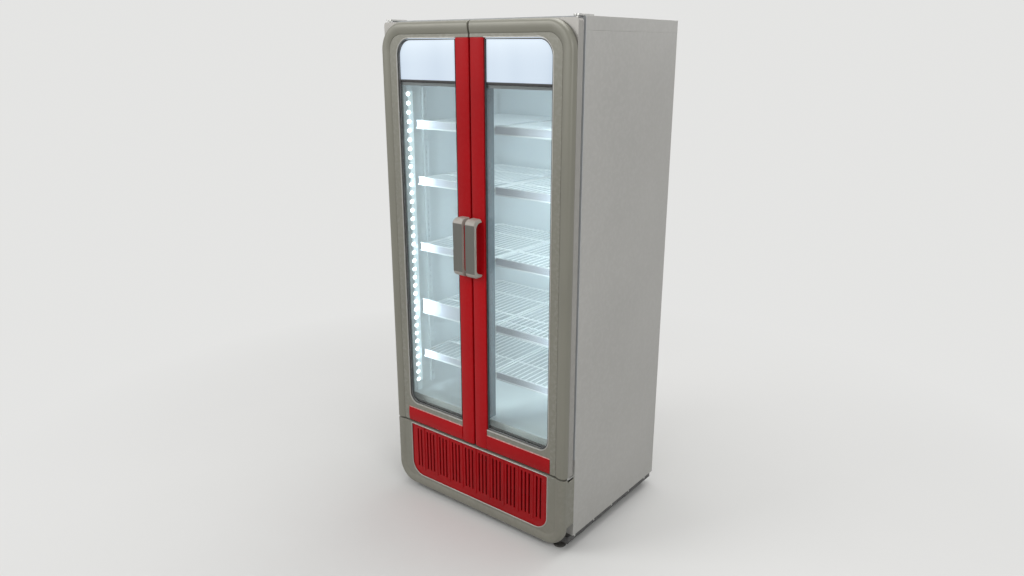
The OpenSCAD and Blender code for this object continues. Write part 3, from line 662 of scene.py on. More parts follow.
# What surfaced() is given for each finish. A tone is (shade, scale, amount) and a grain (scale, height
# in metres); a colour may be the name of one of the user's.
FINISHES = {
    "silver_finish": dict(colour="silver", rough=0.42, tone=(0.82, 2.2, 0.6), wear=0.25,
                          grain=(900.0, 0.00003), Metallic=0.15, Coat_Weight=0.1, Coat_Roughness=0.3),
    # The trim's pale silver is a painted highlight: its beads stand for the bright lines along silver
    # edges.
    "trim_finish": dict(colour=(0.46, 0.45, 0.42), rough=0.30, tone=(0.85, 5.0, 0.5),
                        grain=(900.0, 0.00002), Metallic=0.3, Coat_Weight=0.2),
    "reveal_finish": dict(colour=(0.50, 0.50, 0.49), rough=0.34, tone=(0.85, 6.0, 0.5), dust=0.1,
                          wear=0.1, grain=(900.0, 0.00003), Metallic=0.2),
    "steel_finish": dict(colour="steel", rough=0.36, tone=(0.84, 1.4, 0.7), dust=0.35, marks=0.2,
                         grain=(420.0, 0.00006), wave=0.004, Coat_Weight=0.15, Coat_Roughness=0.2),
    "red_finish": dict(colour="red", rough=0.34, tone=(0.60, 1.4, 0.8), dust=0.05, wear=0.03,
                       marks=0.08, grain=(260.0, 0.00002), Coat_Weight=0.05, Coat_Roughness=0.1,
                       Specular_IOR_Level=0.16),
    # The lip's pale rose is a painted highlight: the red rail's rounded top edge catching light from
    # above.
    "lip_finish": dict(colour=(0.60, 0.20, 0.18), rough=0.30, tone=(0.75, 9.0, 0.6), dust=0.1,
                       wear=0.5, marks=0.2, grain=(700.0, 0.00003), Coat_Weight=0.4,
                       Coat_Roughness=0.15),
    "mouth_finish": dict(colour=(0.44, 0.46, 0.47), rough=0.40, tone=(0.80, 6.0, 0.5), dust=0.15,
                         wear=0.1, grain=(900.0, 0.00003)),
    # The post's dark blue-grey is painted shade: a white post darkened for the shade it stands in.
    "mullion_finish": dict(colour=(0.13, 0.15, 0.17), rough=0.36, tone=(0.85, 3.0, 0.5), dust=0.08,
                           wear=0.1, grain=(300.0, 0.00003)),
    "lining_finish": dict(colour="lining", rough=0.34, tone=(0.93, 2.5, 0.5), dust=0.08, wear=0.1,
                          grain=(300.0, 0.00003)),
    "wire_finish": dict(colour=(0.80, 0.83, 0.85), rough=0.33, tone=(0.85, 12.0, 0.5), dust=0.1,
                        wear=0.1, grain=(1500.0, 0.00002)),
    "ticket_finish": dict(colour=(0.74, 0.77, 0.82), rough=0.22, tone=(0.9, 5.0, 0.5), dust=0.1,
                          grain=(500.0, 0.00002), Coat_Weight=0.4),
    "insert_finish": dict(colour=(0.48, 0.50, 0.58), rough=0.30, tone=(0.80, 8.0, 0.6), dust=0.05,
                          wear=0.0, grain=(900.0, 0.00001), Coat_Weight=0.4, Coat_Roughness=0.1),
    "black_finish": dict(colour=(0.018, 0.018, 0.018), rough=0.46, tone=(0.6, 6.0, 0.5), wear=0.08,
                         grain=(1600.0, 0.00006)),
    "black_steel_finish": dict(colour=(0.022, 0.022, 0.023), rough=0.40, tone=(0.7, 5.0, 0.5),
                               dust=0.14, grain=(500.0, 0.00008), Coat_Weight=0.15),
    "rubber_finish": dict(colour=(0.035, 0.035, 0.037), rough=0.62, tone=(0.7, 9.0, 0.6), dust=0.15,
                          wear=0.1, grain=(1800.0, 0.00007)),
    "zinc_finish": dict(colour=(0.56, 0.56, 0.54), rough=0.36, tone=(0.72, 60.0, 0.8), dust=0.12,
                        wear=0.15, grain=(240.0, 0.00005), Metallic=0.9),
    "aluminium_finish": dict(colour=(0.34, 0.33, 0.31), rough=0.42, tone=(0.85, 4.0, 0.5), dust=0.1,
                             wear=0.1, grain=(900.0, 0.00005), stretch=(1.0, 1.0, 0.02), Metallic=0.6),
    "spacer_finish": dict(colour=(0.36, 0.37, 0.38), rough=0.45, tone=(0.85, 9.0, 0.4), dust=0.05,
                          wear=0.1, grain=(1200.0, 0.00003), Metallic=0.5),
    "copper_finish": dict(colour=(0.55, 0.24, 0.13), rough=0.32, tone=(0.55, 14.0, 0.8), dust=0.3,
                          grain=(700.0, 0.00004), Metallic=1.0),
}


def rgba(colour, share=1.0):
    """A colour, made darker or lighter, as four numbers."""
    return (*[min(1.0, c * share) for c in colour], 1.0)


def new_material(name):
    """A new material with its tree and its shader."""
    material = bpy.data.materials.new(name)
    material.use_nodes = True
    return material, material.node_tree, material.node_tree.nodes["Principled BSDF"]


def surfaced(name, colour, rough, tone=(0.8, 3.0, 0.5), dust=0.25, wear=0.2, marks=0.12,
             grain=(600.0, 0.00004), stretch=(1, 1, 1), wave=0.0, **constants):
    """A finish with drifting tone, dust, rubbed edges, smears and grain, and with slow waves where a
    sheet isn't flat. Constants go to the shader."""
    material, tree, shader = new_material(name)
    if isinstance(colour, str):
        colour = getattr(bpy.context.scene.cooler_colours, colour)
    shade, scale, amount = tone
    base = use(tree, tone_group, Colour=rgba(colour), Shade=rgba(colour, shade), Scale=scale,
               Amount=amount)
    rubbed = use(tree, wear_group, Amount=wear)
    base = mixed(tree, rubbed, base, rgba([0.35 + 0.6 * c for c in colour]))
    settled = use(tree, dust_group, Amount=dust, Reach=DUST_REACH)
    tree.links.new(mixed(tree, settled, base, DUST), shader.inputs["Base Color"])
    roughness = use(tree, marks_group, Roughness=rough, Amount=marks)
    roughness = maths(tree, "ADD", roughness, times(tree, settled, 0.35), True)
    tree.links.new(roughness, shader.inputs["Roughness"])
    height = use(tree, grain_group, Scale=grain[0], Stretch=stretch)
    normal = out(tree, "ShaderNodeBump", {"Height": height, "Distance": grain[1], "Strength": 1.0})
    if wave:
        slow = noise(tree, object_place(tree), 3.0, 1.0)
        normal = out(tree, "ShaderNodeBump",
                     {"Height": slow, "Distance": wave, "Strength": 1.0, "Normal": normal})
    tree.links.new(normal, shader.inputs["Normal"])
    for key, value in constants.items():
        shader.inputs[key.replace("_", " ")].default_value = value
    return material


def finish(look):
    """A finish, made once: that of a row of FINISHES, or of a maker function."""
    name = look if isinstance(look, str) else look.__name__
    known = bpy.data.materials.get(name)
    if known:
        return known
    material = surfaced(name, **FINISHES[name]) if name in FINISHES else look()
    material.name = name
    return material


def handle_finish():
    """Pale plastic with a darker grip face at the very front."""
    material = surfaced("handle_finish", "handle", 0.42, tone=(0.78, 6.0, 0.6), wear=0.35, marks=0.2,
                        grain=(1400.0, 0.00005))
    tree = material.node_tree
    base = tree.nodes["Principled BSDF"].inputs["Base Color"]
    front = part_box("left_handle")[0].y
    face = remapped(tree, part_of(tree, object_place(tree), "Y"), front + 0.0007, front + 0.0003)
    tree.links.new(mixed(tree, face, base.links[0].from_socket, (0.135, 0.134, 0.118, 1.0)), base)
    return material


def glowing(material, colour, strength):
    """A material that also gives light. Its colour comes from its own tree."""
    shader = material.node_tree.nodes["Principled BSDF"]
    material.node_tree.links.new(colour, shader.inputs["Emission Color"])
    shader.inputs["Emission Strength"].default_value = strength
    return material


def light_finish(name, colour, strength, edge):
    """A milky lit lens whose glow isn't quite even."""
    material = surfaced(name, colour, 0.3, tone=(0.9, 8.0, 0.3), dust=0.0, wear=0.0)
    tree = material.node_tree
    share = remapped(tree, noise(tree, object_place(tree), 4.0, 1.0), 0.3, 0.7)
    return glowing(material, mixed(tree, share, rgba(colour, edge), rgba(colour)), strength)


def lens_finish():
    """The long milky cover of a light strip."""
    light = bpy.context.scene.cooler_colours.light
    return light_finish("lens_finish", rgba(light, 0.6)[:3], 0.25, 0.7)


def spine_finish():
    """The lit strip behind the points."""
    return light_finish("spine_finish", (0.86, 0.95, 1.0), 0.22, 0.7)


def lamp_finish():
    """The bright points themselves."""
    return light_finish("lamp_finish", (0.94, 0.98, 1.0), 3.0, 0.9)


def header_finish():
    """A lit panel: even bluish white, with a paler upper edge and faint bars from the tubes behind it."""
    material = surfaced("header_finish", (0.30, 0.33, 0.36), 0.20, tone=(0.9, 6.0, 0.4), dust=0.05,
                        wear=0.0, grain=(700.0, 0.00001), Coat_Weight=0.3)
    tree = material.node_tree
    place = object_place(tree)
    rise = remapped(tree, part_of(tree, place, "Z"), HEADER_Z, OPEN_TOP)
    edge = times(tree, maths(tree, "POWER", rise, 3.0), 0.6)
    bars = times(tree, noise(tree, stretched(tree, place, (7.0, 1.0, 1.2)), 1.0, 1.0), 0.5)
    share = maths(tree, "ADD", bars, edge, True)
    return glowing(material, mixed(tree, share, (0.40, 0.50, 0.62, 1.0), (0.76, 0.86, 0.95, 1.0)), 0.8)


def glass_finish():
    """Clear glass with a faint tint and smears, through which lamps shine."""
    material, tree, shader = new_material("glass_finish")
    shader.inputs["Base Color"].default_value = (0.955, 0.985, 0.975, 1.0)
    shader.inputs["Transmission Weight"].default_value = 1.0
    shader.inputs["IOR"].default_value = 1.45
    tree.links.new(use(tree, marks_group, Roughness=0.012, Amount=0.03), shader.inputs["Roughness"])
    clear = out(tree, "ShaderNodeBsdfTransparent", {"Color": (0.93, 0.96, 0.95, 1.0)})
    shadow = add(tree, "ShaderNodeLightPath").outputs["Is Shadow Ray"]
    cast = out(tree, "ShaderNodeMixShader", {0: shadow, 1: shader.outputs[0], 2: clear})
    tree.links.new(cast, tree.nodes["Material Output"].inputs["Surface"])
    return material


# Pieces

def sizes():
    """The user's sizes."""
    return bpy.context.scene.cooler_shape


def remade(node, name, look, width, segments=2):
    """A node of the cabinet with rounded edges and its finish, in the node's place."""
    dressed(softened(node, name, width, segments), "cabinet", look, [node])


def crown_fall(distance):
    """How far the band's convex face lies behind its crown at a distance from it."""
    crown = sizes().band_crown
    return crown - math.sqrt(crown ** 2 - distance ** 2)


def band_step():
    """How far the flat part of a frame lies behind its band's crown."""
    return crown_fall(sizes().band_width * (1 - CROWN_SHARE))


def band_section(steps=14):
    """Section of the rounded silver band, as (depth, outwards) points, which is listed once round."""
    width, edge = sizes().band_width, sizes().band_edge
    depth = Y_CORE - Y_FRONT
    points = []
    for k in range(steps + 1):
        inwards = width * k / steps
        fall = crown_fall(inwards - width * CROWN_SHARE)
        if inwards < edge:
            fall = max(fall, edge - math.sqrt(edge ** 2 - (edge - inwards) ** 2))
        points.append((fall, -inwards))
    points += [(depth, -width), (depth, 0.0)]
    return points[::-1]


def frame_path():
    """Outer edge of the left door's silver band, from its foot over the corner to the gap."""
    flat = rounded([(X_OUT, DOOR_Z, 0), (X_OUT, DOOR_TOP, sizes().corner), (X_GAP, DOOR_TOP, 0)],
                   closed=False, steps=28)
    return [(x, Y_FRONT, z) for x, z in flat]


def opening(inset, lower=None):
    """Outline of the left door's opening over a lower level, drawn in by an inset."""
    size = sizes()
    low = RAIL_TOP + size.bead if lower is None else lower
    sill = max(size.sill - inset, 0.0) if lower is None else 0.0
    left, right = X_OPEN + inset, X_STILE - inset
    foot, top = low + inset, OPEN_TOP - inset
    return rounded([(left, foot, sill), (right, foot, 0.0), (right, top, 0.0),
                    (left, top, size.opening - inset)], steps=16)


def build_frames():
    """Silver bands, flat bezels and feet of both doors' frames."""
    size = sizes()
    band = bevelled(swept("left_frame_band", frame_path(), band_section(), BACK), 0.0022, 3, 60)
    flat_x = X_OUT + size.band_width
    flat_top = DOOR_TOP - size.band_width
    glass_z = RAIL_TOP + size.bead
    outline = rounded([
        (flat_x, DOOR_Z, 0), (X_RAIL, DOOR_Z, 0), (X_RAIL, RAIL_TOP, 0), (X_STILE, RAIL_TOP, 0),
        (X_STILE, glass_z, 0), (X_OPEN, glass_z, size.sill), (X_OPEN, OPEN_TOP, size.opening),
        (X_GAP, OPEN_TOP, 0), (X_GAP, flat_top, 0),
        (flat_x, flat_top, size.corner - size.band_width)], steps=20)
    y = Y_FRONT + band_step()
    clear, overlap, foot_height = 0.0002, 0.001, 0.028
    bezel = plate("left_bezel", outline, y, Y_PANE - y - clear, size.edge)
    foot = plate("left_foot", rectangle(flat_x, DOOR_Z, X_RAIL, DOOR_Z + foot_height),
                 Y_PANE - overlap, Y_CORE - Y_PANE + overlap)
    on_both_doors(joined("left_frame", [band, bezel, foot]), "frame",
                  "silver_finish", ["door_frame"])


def build_bars():
    """Red stiles and foot rails, the dark bars under the headers and the doors' cores."""
    edge = sizes().edge
    for name, slot, look, width in (("stile", "red_moulding", "red_finish", 0.0034),
                                    ("rail", "red_moulding", "red_finish", 0.002),
                                    ("transom", "dark_plastic", "black_finish", edge),
                                    ("door_core", "core_aluminium", "aluminium_finish", edge)):
        piece = softened("left_" + name, "left_" + name, width, 3)
        on_both_doors(piece, name, look, [name])


def build_lips():
    """Rounded lips on the red foot rails, painted pale rose as a highlight along their top edges."""
    behind, sunk = 0.0072, 0.0005
    y, z = Y_FRONT + behind, RAIL_TOP - sunk
    line = [(X_RAIL + 0.001, y, z), (X_STILE - sunk, y, z)]
    on_both_doors(swept("left_lip", line, ring(0.003), BACK), "rail_lip", "lip_finish")


def build_gaskets():
    """Bead on the silver sides of each opening, painted pale as a highlight; the gasket that lines it
    down to the glass, whose web on the stile's side is partly real rubber and partly painted shade; and
    the pale reveal between the two on the same sides."""
    y = Y_FRONT + band_step()
    outline = opening(-0.0005)
    corner = next(i for i, (x, z) in enumerate(outline) if x > X_STILE and z > OPEN_TOP)
    bead = [(x, y + 0.0008, z) for x, z in outline[corner:] + outline[:corner]]
    bead[0] = (X_STILE - 0.001, *bead[0][1:])
    bead[-1] = (X_STILE - 0.001, *bead[-1][1:])
    # The bead is painted pale as a highlight along the opening's silver edge.
    on_both_doors(swept("left_bead", bead, ring(0.0022), BACK), "opening_bead",
                  "trim_finish")
    width = sizes().gasket
    thin = width * 0.8
    lip_depth, foot_depth, web_reach = 0.003, 0.0022, 0.005
    edge = [(x, y + 0.0032, z) for x, z in opening(width + 0.0023)]
    silver_sides = edge[corner:] + edge[:corner]
    glass = Y_PANE - y - 0.0035
    foot = glass - foot_depth
    lip = [(0, 0), (lip_depth, 0), (lip_depth, width), (0.0008, width), (0, width * 0.7)]
    bulb = [(foot, 0), (glass, 0), (glass, width + 0.0016), (glass - 0.0014, width + 0.0012),
            (foot, width)]
    # The web lines the stile's side face in black rubber: partly a real gasket, partly painted shade on
    # that face.
    shade_web = [(lip_depth, 0), (glass - 0.0012, 0), (glass - 0.0009, -web_reach), (glass, -web_reach),
           (glass, thin), (lip_depth, thin)]
    sheet = [(lip_depth, 0), (foot, 0), (foot, thin), (lip_depth, thin)]
    rubbers = [swept("left_gasket_lip", edge, lip, BACK, True),
               swept("left_gasket_foot", edge, bulb, BACK, True),
               swept("left_gasket_web", [silver_sides[-1], silver_sides[0]], shade_web, BACK)]
    on_both_doors(joined("left_gasket", rubbers), "glass_gasket", "rubber_finish")
    on_both_doors(swept("left_reveal", silver_sides, sheet, BACK), "opening_reveal",
                  "reveal_finish")


def build_headers():
    """Lit header panels and the housings behind them."""
    panel = plate("left_header", opening(0.0008, HEADER_Z), Y_HEADER, Y_CORE - Y_HEADER - 0.0003, 0.0015)
    on_both_doors(panel, "header_panel", header_finish, ["header_panel"])
    housing = softened("left_header_housing", "left_housing", sizes().edge)
    on_both_doors(housing, "header_housing", "lining_finish", ["header_housing"])


def build_glass():
    """Double panes and their spacers."""
    for side in ("left_", "right_"):
        painted(side + "glass", glass_finish)
        painted(side + "glass_spacer", "spacer_finish")


def build_seals():
    """Bellows seals behind the doors."""
    low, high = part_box("left_seal")
    half = 0.007
    deep = high.y - low.y
    line = rounded([(x, z, 0.004) for x, z in rectangle(low.x + half, low.z + half, high.x - half,
                                                        high.z - half)], steps=4)
    side = [(0.0, half), (0.25, half), (0.4, half * 0.6), (0.55, half), (1.0, half)]
    fold = [(deep * share, -away) for share, away in side]
    fold += [(deep * share, away) for share, away in reversed(side)]
    seal = swept("left_bellows", [(x, low.y, z) for x, z in line], fold, BACK, True)
    on_both_doors(seal, "seal", "rubber_finish", ["seal"])


def build_handles():
    """Loop handles."""
    piece = softened("left_handle", "left_grip", 0.0022, 3, 45)
    on_both_doors(piece, "handle", handle_finish, ["handle"])


def build_walls():
    """Painted steel walls of the cabinet, its post and the strip round its mouth."""
    edge = sizes().edge
    for name in ("left_wall", "right_wall", "rear_wall", "top_wall", "insulated_floor"):
        remade(name, name + "_sheet", "steel_finish", edge)
    # The post is painted dark as shade.
    remade("centre_mullion", "mullion", "mullion_finish", edge)
    remade("mouth_strip", "mouth_trim", "mouth_finish", 0.0006)


def build_lining():
    """White lining of the cold space, its uprights and their clips."""
    remade("inner_liner", "lining", "lining_finish", 0.0)
    remade("evaporator_cover", "coil_cover", "lining_finish", 0.004, 3)
    painted("shelf_pilasters", "lining_finish")
    painted("shelf_clips", "zinc_finish")


def build_guards():
    """Wire guards under the fans of the evaporator's cover."""
    low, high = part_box("evaporator_cover")
    centres = [(x, (low.y + high.y) / 2, low.z + 0.004) for x in (low.x / 2, high.x / 2)]
    guard = grown(dots("fan_guards", centres), guard_tree, radius=0.085, wire=0.0012,
                  rings=sizes().guard_rings, spokes=8)
    dressed(guard, "cabinet", "wire_finish")


def build_shelves():
    """Stacked wire shelves."""
    size = sizes()
    low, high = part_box("left_shelves")
    wire, thin = size.frame_wire, size.thin_wire
    tops = [top for _, top in stacked("left_shelves")]
    x0, x1 = low.x + wire, high.x - wire
    y0, y1 = low.y + wire, high.y - wire
    step = (x1 - x0) / (size.wires + 1)
    z = tops[0] - thin
    rod = [(x0 + step, y1 + wire, z), (x0 + step, y0, z), (x0 + step, y0 - wire * 0.4, z - 0.001)]
    frame_drop = 2 * thin + wire - 0.0006
    brace_inset = 0.3
    places = dots("shelf_levels", [(0, 0, top - tops[0]) for top in tops])
    for side, sign in (("left", 1), ("right", -1)):
        path = polyline(side + "_rod", [(sign * x, y, h) for x, y, h in rod])
        centre = (sign * (x0 + x1) / 2, (y0 + y1) / 2, tops[0] - frame_drop)
        rack = grown(path, rack_tree, width=x1 - x0, depth=y1 - y0, centre=centre, corner=0.012,
                     rods=size.wires, rod_step=(sign * step, 0, 0),
                     brace_step=(0, y1 - y0 - brace_inset, 0), frame_radius=wire, rod_radius=thin,
                     levels=places)
        rack.name = side + "_wire_shelves"
        dressed(rack, "cabinet", "wire_finish", [side + "_shelves"])
    bpy.data.objects.remove(places)


def build_tickets():
    """Ticket rails on the shelves' front wires, with their price inserts."""
    remade("ticket_rails", "price_rails", "ticket_finish", 0.0006)
    low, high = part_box("ticket_rails")
    inner = min(v.co.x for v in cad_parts["ticket_rails"].data.vertices if v.co.x > 0)
    x0, x1 = low.x + 0.002, -inner - 0.002
    above_foot, under_top, behind = 0.0052, 0.0027, 0.0033
    inserts = []
    for sign in (1, -1):
        left, right = sorted((sign * x0, sign * x1))
        for foot, top in stacked("ticket_rails", -sign):
            outline = rectangle(left, foot + above_foot, right, top - under_top)
            inserts.append(plate("insert", outline, high.y - behind, 0.0008))
    dressed(joined("price_inserts", inserts), "cabinet", "insert_finish")


def build_lights():
    """Light strips with a row of lit points on each."""
    size = sizes()
    pitch = size.led_pitch
    low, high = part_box("light_strips")
    remade("light_strips", "light_channels", lens_finish, 0.001)
    count = int((high.z - low.z - pitch) / pitch)
    first = (low.z + high.z) / 2 - (count - 1) * pitch / 2
    last = first + (count - 1) * pitch
    face = X_LINER + 0.012
    middle = low.y + size.led_width / 2 + 0.0015
    behind = high.y - 0.003
    dome_depth, spine_end = 0.006, 0.01
    rows = []
    spines = []
    for sign in (1, -1):
        x0, x1 = sorted((sign * (face - 0.0006), sign * (face + 0.0008)))
        foot = [(x, y, first - spine_end) for x, y in rectangle(x0, middle, x1, behind)]
        spines.append(extruded("light_spine", foot, (0, 0, last - first + 2 * spine_end)))
        dome = bmesh.new()
        bmesh.ops.create_uvsphere(dome, u_segments=12, v_segments=8, radius=0.5)
        for vertex in dome.verts:
            x, y, z = vertex.co
            vertex.co = Vector((sign * (face + 0.0005 + x * dome_depth), middle + y * size.led_width,
                                first + z * size.led_height))
        bmesh.ops.recalc_face_normals(dome, faces=dome.faces)
        rows.append(grown(from_bmesh("light_row", dome), row_tree, count=count, step=(0, 0, pitch)))
    dressed(joined("light_points", rows), "cabinet", lamp_finish)
    dressed(joined("light_spines", spines), "cabinet", spine_finish)


def build_lower_panel():
    """Silver lower panel and its red grille."""
    remade("lower_panel", "lower_moulding", "silver_finish", sizes().edge)
    remade("louvre_grille", "red_grille", "red_finish", 0.0006)
    low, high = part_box("louvre_grille")
    foot_radius, top_radius = 0.060, 0.006
    line = rounded([(low.x, low.z, foot_radius), (high.x, low.z, foot_radius),
                    (high.x, high.z, top_radius), (low.x, high.z, top_radius)], steps=16)
    y = Y_FRONT + band_step() + 0.0006
    # A pale bead round the grille, painted as the highlight along the grille's edge.
    trim = swept("grille_line", [(x, y, z) for x, z in line], ring(0.0019), BACK, True)
    dressed(trim, "cabinet", "trim_finish")


def build_base():
    """Base tray, feet, machine space and rear grille."""
    edge = sizes().edge
    remade("base_tray", "base_tray_made", "black_steel_finish", edge)
    remade("levelling_feet", "levelling_feet_made", "black_finish", edge)
    remade("compressor", "compressor_made", "black_steel_finish", edge)
    remade("condenser", "condenser_made", "aluminium_finish", min(edge, 0.0004))
    remade("rear_grille", "rear_grille_made", "steel_finish", edge)


def build_louvres():
    """Slanting blades behind the slots of the rear grille."""
    low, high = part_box("rear_grille")
    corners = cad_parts["rear_grille"].data.vertices
    levels = sorted({round(v.co.z, 4) for v in corners} - {round(low.z, 4), round(high.z, 4)})
    sides = sorted({round(v.co.x, 4) for v in corners if 0 < v.co.x < high.x - 0.001})
    rows = len(levels) // 2
    y, top, foot = low.y, levels[1], levels[0] - 0.002
    overlap = 0.001
    section = [(y, top + 0.0012), (y, top), (y - 0.008, foot), (y - 0.0086, foot + 0.001)]
    x0, x1 = sides[0] - overlap, sides[-1] + overlap
    blade = extruded("blade", [(x0, y, z) for y, z in section], (x1 - x0, 0, 0))
    blades = grown(blade, row_tree, count=rows, step=(0, 0, (levels[-1] - levels[1]) / (rows - 1)))
    both = joined("louvre_blades", [blades, mirrored(blades, "blades")])
    dressed(both, "cabinet", "steel_finish")


def screw_head(radius, rise):
    """A small domed screw head with a cross in it, its z outwards."""
    head = bmesh.new()
    bmesh.ops.create_uvsphere(head, u_segments=14, v_segments=8, radius=radius)
    lower = [v for v in head.verts if v.co.z < -0.0001]
    bmesh.ops.delete(head, geom=lower, context="VERTS")
    for vertex in head.verts:
        vertex.co.z *= rise / radius
        in_cross = min(abs(vertex.co.x), abs(vertex.co.y)) < radius * 0.12
        if in_cross and vertex.co.to_2d().length < radius * 0.6:
            vertex.co.z -= rise * 0.5
    return from_bmesh("screw_head", head)


def build_hinges():
    """Hinge plates with their screws."""
    remade("hinge_plates", "hinges", "zinc_finish", 0.0005)
    low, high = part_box("hinge_plates")
    middle = low.x + HEAD_INSET
    reach = high.y - Y_WALLS
    countersink = 0.0012
    places = [((sign * middle, Y_WALLS + share * reach, high.z - countersink), (0, 0, 1))
              for sign in (1, -1) for share in (0.25, 0.75)]
    screws = scattered("hinge_screws", places, screw_head(0.0055, 0.001))
    dressed(screws, "cabinet", "zinc_finish")


def evenly(low, high, inset, count):
    """Even places from one end to the other, each end drawn in by an inset."""
    return [low + inset + (high - low - 2 * inset) * k / (count - 1) for k in range(count)]


def build_screws():
    """Screws of the back, the rear grille, the base, the coil's cover and the lower hinges."""
    low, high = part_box("rear_grille")
    places = [((x, high.y, z), BACK) for x in (low.x + HEAD_INSET, 0.0, high.x - HEAD_INSET)
              for z in (low.z + HEAD_INSET, high.z - HEAD_INSET)]
    low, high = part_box("rear_wall")
    from_edge, from_middle, pressed = 0.052, 0.042, 0.003
    places += [((x, Y_BACK - pressed, z), BACK)
               for x in (low.x + from_edge, -from_middle, from_middle, high.x - from_edge)
               for z in evenly(low.z, high.z, 0.08, 7)]
    low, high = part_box("base_tray")
    places += [((x, y, (low.z + high.z) / 2), way)
               for x, way in ((low.x, (-1, 0, 0)), (high.x, (1, 0, 0)))
               for y in evenly(low.y, high.y, 0.05, 5)]
    low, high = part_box("evaporator_cover")
    from_edge = 0.03
    places += [((x, low.y, high.z - from_edge), FRONT)
               for x in (low.x + from_edge, 0.0, high.x - from_edge)]
    low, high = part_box("hinge_plates")
    plate_front, above = Y_WALLS - 0.004, 0.014
    places += [((x, plate_front, low.z + above), FRONT)
               for x in (low.x + HEAD_INSET, -low.x - HEAD_INSET)]
    screws = scattered("cabinet_screws", places, screw_head(sizes().screw, 0.0019))
    dressed(screws, "cabinet", "zinc_finish")


def fan(radius, hub, blades=5, rings=5, points=7):
    """Bent blades round a hub, with the axis along z."""
    reach, widening, sweep = 0.95, 0.1, 0.07
    rise, flattening = 0.022, 0.35
    wheel = bmesh.new()
    for k in range(blades):
        rows = []
        for i in range(rings):
            share = i / (rings - 1)
            away = hub * 0.8 + (radius - hub * 0.8) * share
            row = []
            for j in range(points):
                side = j / (points - 1) - 0.5
                turn = math.tau * k / blades + side * (reach + widening * share) + i * sweep
                lift = side * rise * (1 - flattening * share)
                row.append(wheel.verts.new((away * math.cos(turn), away * math.sin(turn), lift)))
            rows.append(row)
        for inner, outer in zip(rows, rows[1:]):
            for j in range(points - 1):
                wheel.faces.new((inner[j], outer[j], outer[j + 1], inner[j + 1]))
    piece = from_bmesh("fan", wheel)
    sheet = piece.modifiers.new("Sheet", "SOLIDIFY")
    sheet.thickness = 0.0014
    core = bmesh.new()
    bmesh.ops.create_cone(core, cap_ends=True, segments=28, radius1=hub, radius2=hub * 0.86, depth=0.02)
    return joined("fan", [baked(piece), bevelled(from_bmesh("hub", core), 0.0015)])


def build_pipes():
    """The condenser's bends and its two pipes."""
    low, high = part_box("condenser")
    pot_low, pot_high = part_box("compressor")
    x, y = (pot_low.x + pot_high.x) / 2, (pot_low.y + pot_high.y) / 2
    coil_y = low.y + 0.03
    pitch, bulge, margin = 0.045, 0.014, 0.01
    pipes = []
    for k in range(6):
        z = low.z + 0.03 + k * pitch
        for end, away, lift in ((low.x, -bulge, pitch / 2), (high.x, bulge, -pitch / 2)):
            if low.z + margin < z + lift < high.z - margin:
                pipes.append(piped("bend", [(end, coil_y, z), (end + away, coil_y, z),
                                            (end + away, coil_y, z + lift), (end, coil_y, z + lift)],
                                   0.0045, 0.010))
    port, middle, back_y = 0.05, -0.02, Y_BACK - 0.08
    start = pot_high.z - 0.03
    hot_z, cold_z = pot_high.z + 0.012, pot_high.z + 0.03
    pipes.append(piped("hot", [(x + port, y, start), (x + port, y, hot_z), (middle, y, hot_z),
                               (middle, coil_y, hot_z), (low.x, coil_y, hot_z)], 0.004, 0.02))
    pipes.append(piped("cold", [(x - port, y, start), (x - port, y, cold_z),
                                (x - port, back_y, cold_z), (x - port, back_y, high.z)], 0.006, 0.02))
    dressed(joined("copper_pipes", pipes), "cabinet", "copper_finish")


def build_fans():
    """The fans of the condenser and of the coil's cover."""
    low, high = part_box("condenser")
    place = ((low.x + high.x) / 2, high.y + 0.014, (low.z + high.z) / 2)
    blower = scattered("condenser_fan", [(place, BACK)], fan(0.112, 0.036))
    low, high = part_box("evaporator_cover")
    places = [((x, (low.y + high.y) / 2, low.z + 0.024), (0, 0, -1)) for x in (low.x / 2, high.x / 2)]
    wheels = scattered("coil_fans", places, fan(0.078, 0.026))
    dressed(joined("fan_wheels", [blower, wheels]), "cabinet", "black_finish")


# Stage

def area_lamp(name, place, aim, size, power, tint=(1, 1, 1), shown=True, spread=180):
    """A soft rectangular lamp that faces a point. One that isn't shown is in no reflection either."""
    lamp = bpy.data.lights.new(name, "AREA")
    lamp.shape = "RECTANGLE"
    lamp.size, lamp.size_y = size
    lamp.energy = power
    lamp.color = tint
    lamp.spread = math.radians(spread)
    piece = link(name, lamp)
    piece.location = place
    piece.rotation_euler = (Vector(aim) - Vector(place)).to_track_quat("-Z", "Y").to_euler()
    piece.visible_camera = False
    piece.visible_glossy = shown
    piece.visible_transmission = shown
    return piece


def seen_directly(tree):
    """1 for what the camera, glass and gloss show, 0 for the light that falls on the object."""
    path = add(tree, "ShaderNodeLightPath")
    seen = maths(tree, "MAXIMUM", path.outputs["Is Camera Ray"], path.outputs["Is Transmission Ray"])
    return maths(tree, "MAXIMUM", seen, path.outputs["Is Glossy Ray"])


def floor_finish():
    """Pale floor that fades into the background away from the object."""
    material, tree, shader = new_material("pale_floor")
    place = object_place(tree)
    seen = seen_directly(tree)
    tone = mixed(tree, noise(tree, place, 1.5, 4.0), (0.72, 0.72, 0.71, 1.0), (0.76, 0.76, 0.75, 1.0))
    tone = mixed(tree, seen, (0.45, 0.45, 0.44, 1.0), tone)
    tree.links.new(tone, shader.inputs["Base Color"])
    shader.inputs["Roughness"].default_value = 0.6
    shader.inputs["Specular IOR Level"].default_value = 0.2
    reach = add(tree, "ShaderNodeVectorMath", {0: place}, operation="LENGTH").outputs["Value"]
    fade = times(tree, remapped(tree, reach, 0.7, 2.7), seen)
    glow = out(tree, "ShaderNodeEmission", {"Color": BACKGROUND})
    both = out(tree, "ShaderNodeMixShader", {0: fade, 1: shader.outputs[0], 2: glow})
    tree.links.new(both, tree.nodes["Material Output"].inputs["Surface"])
    return material


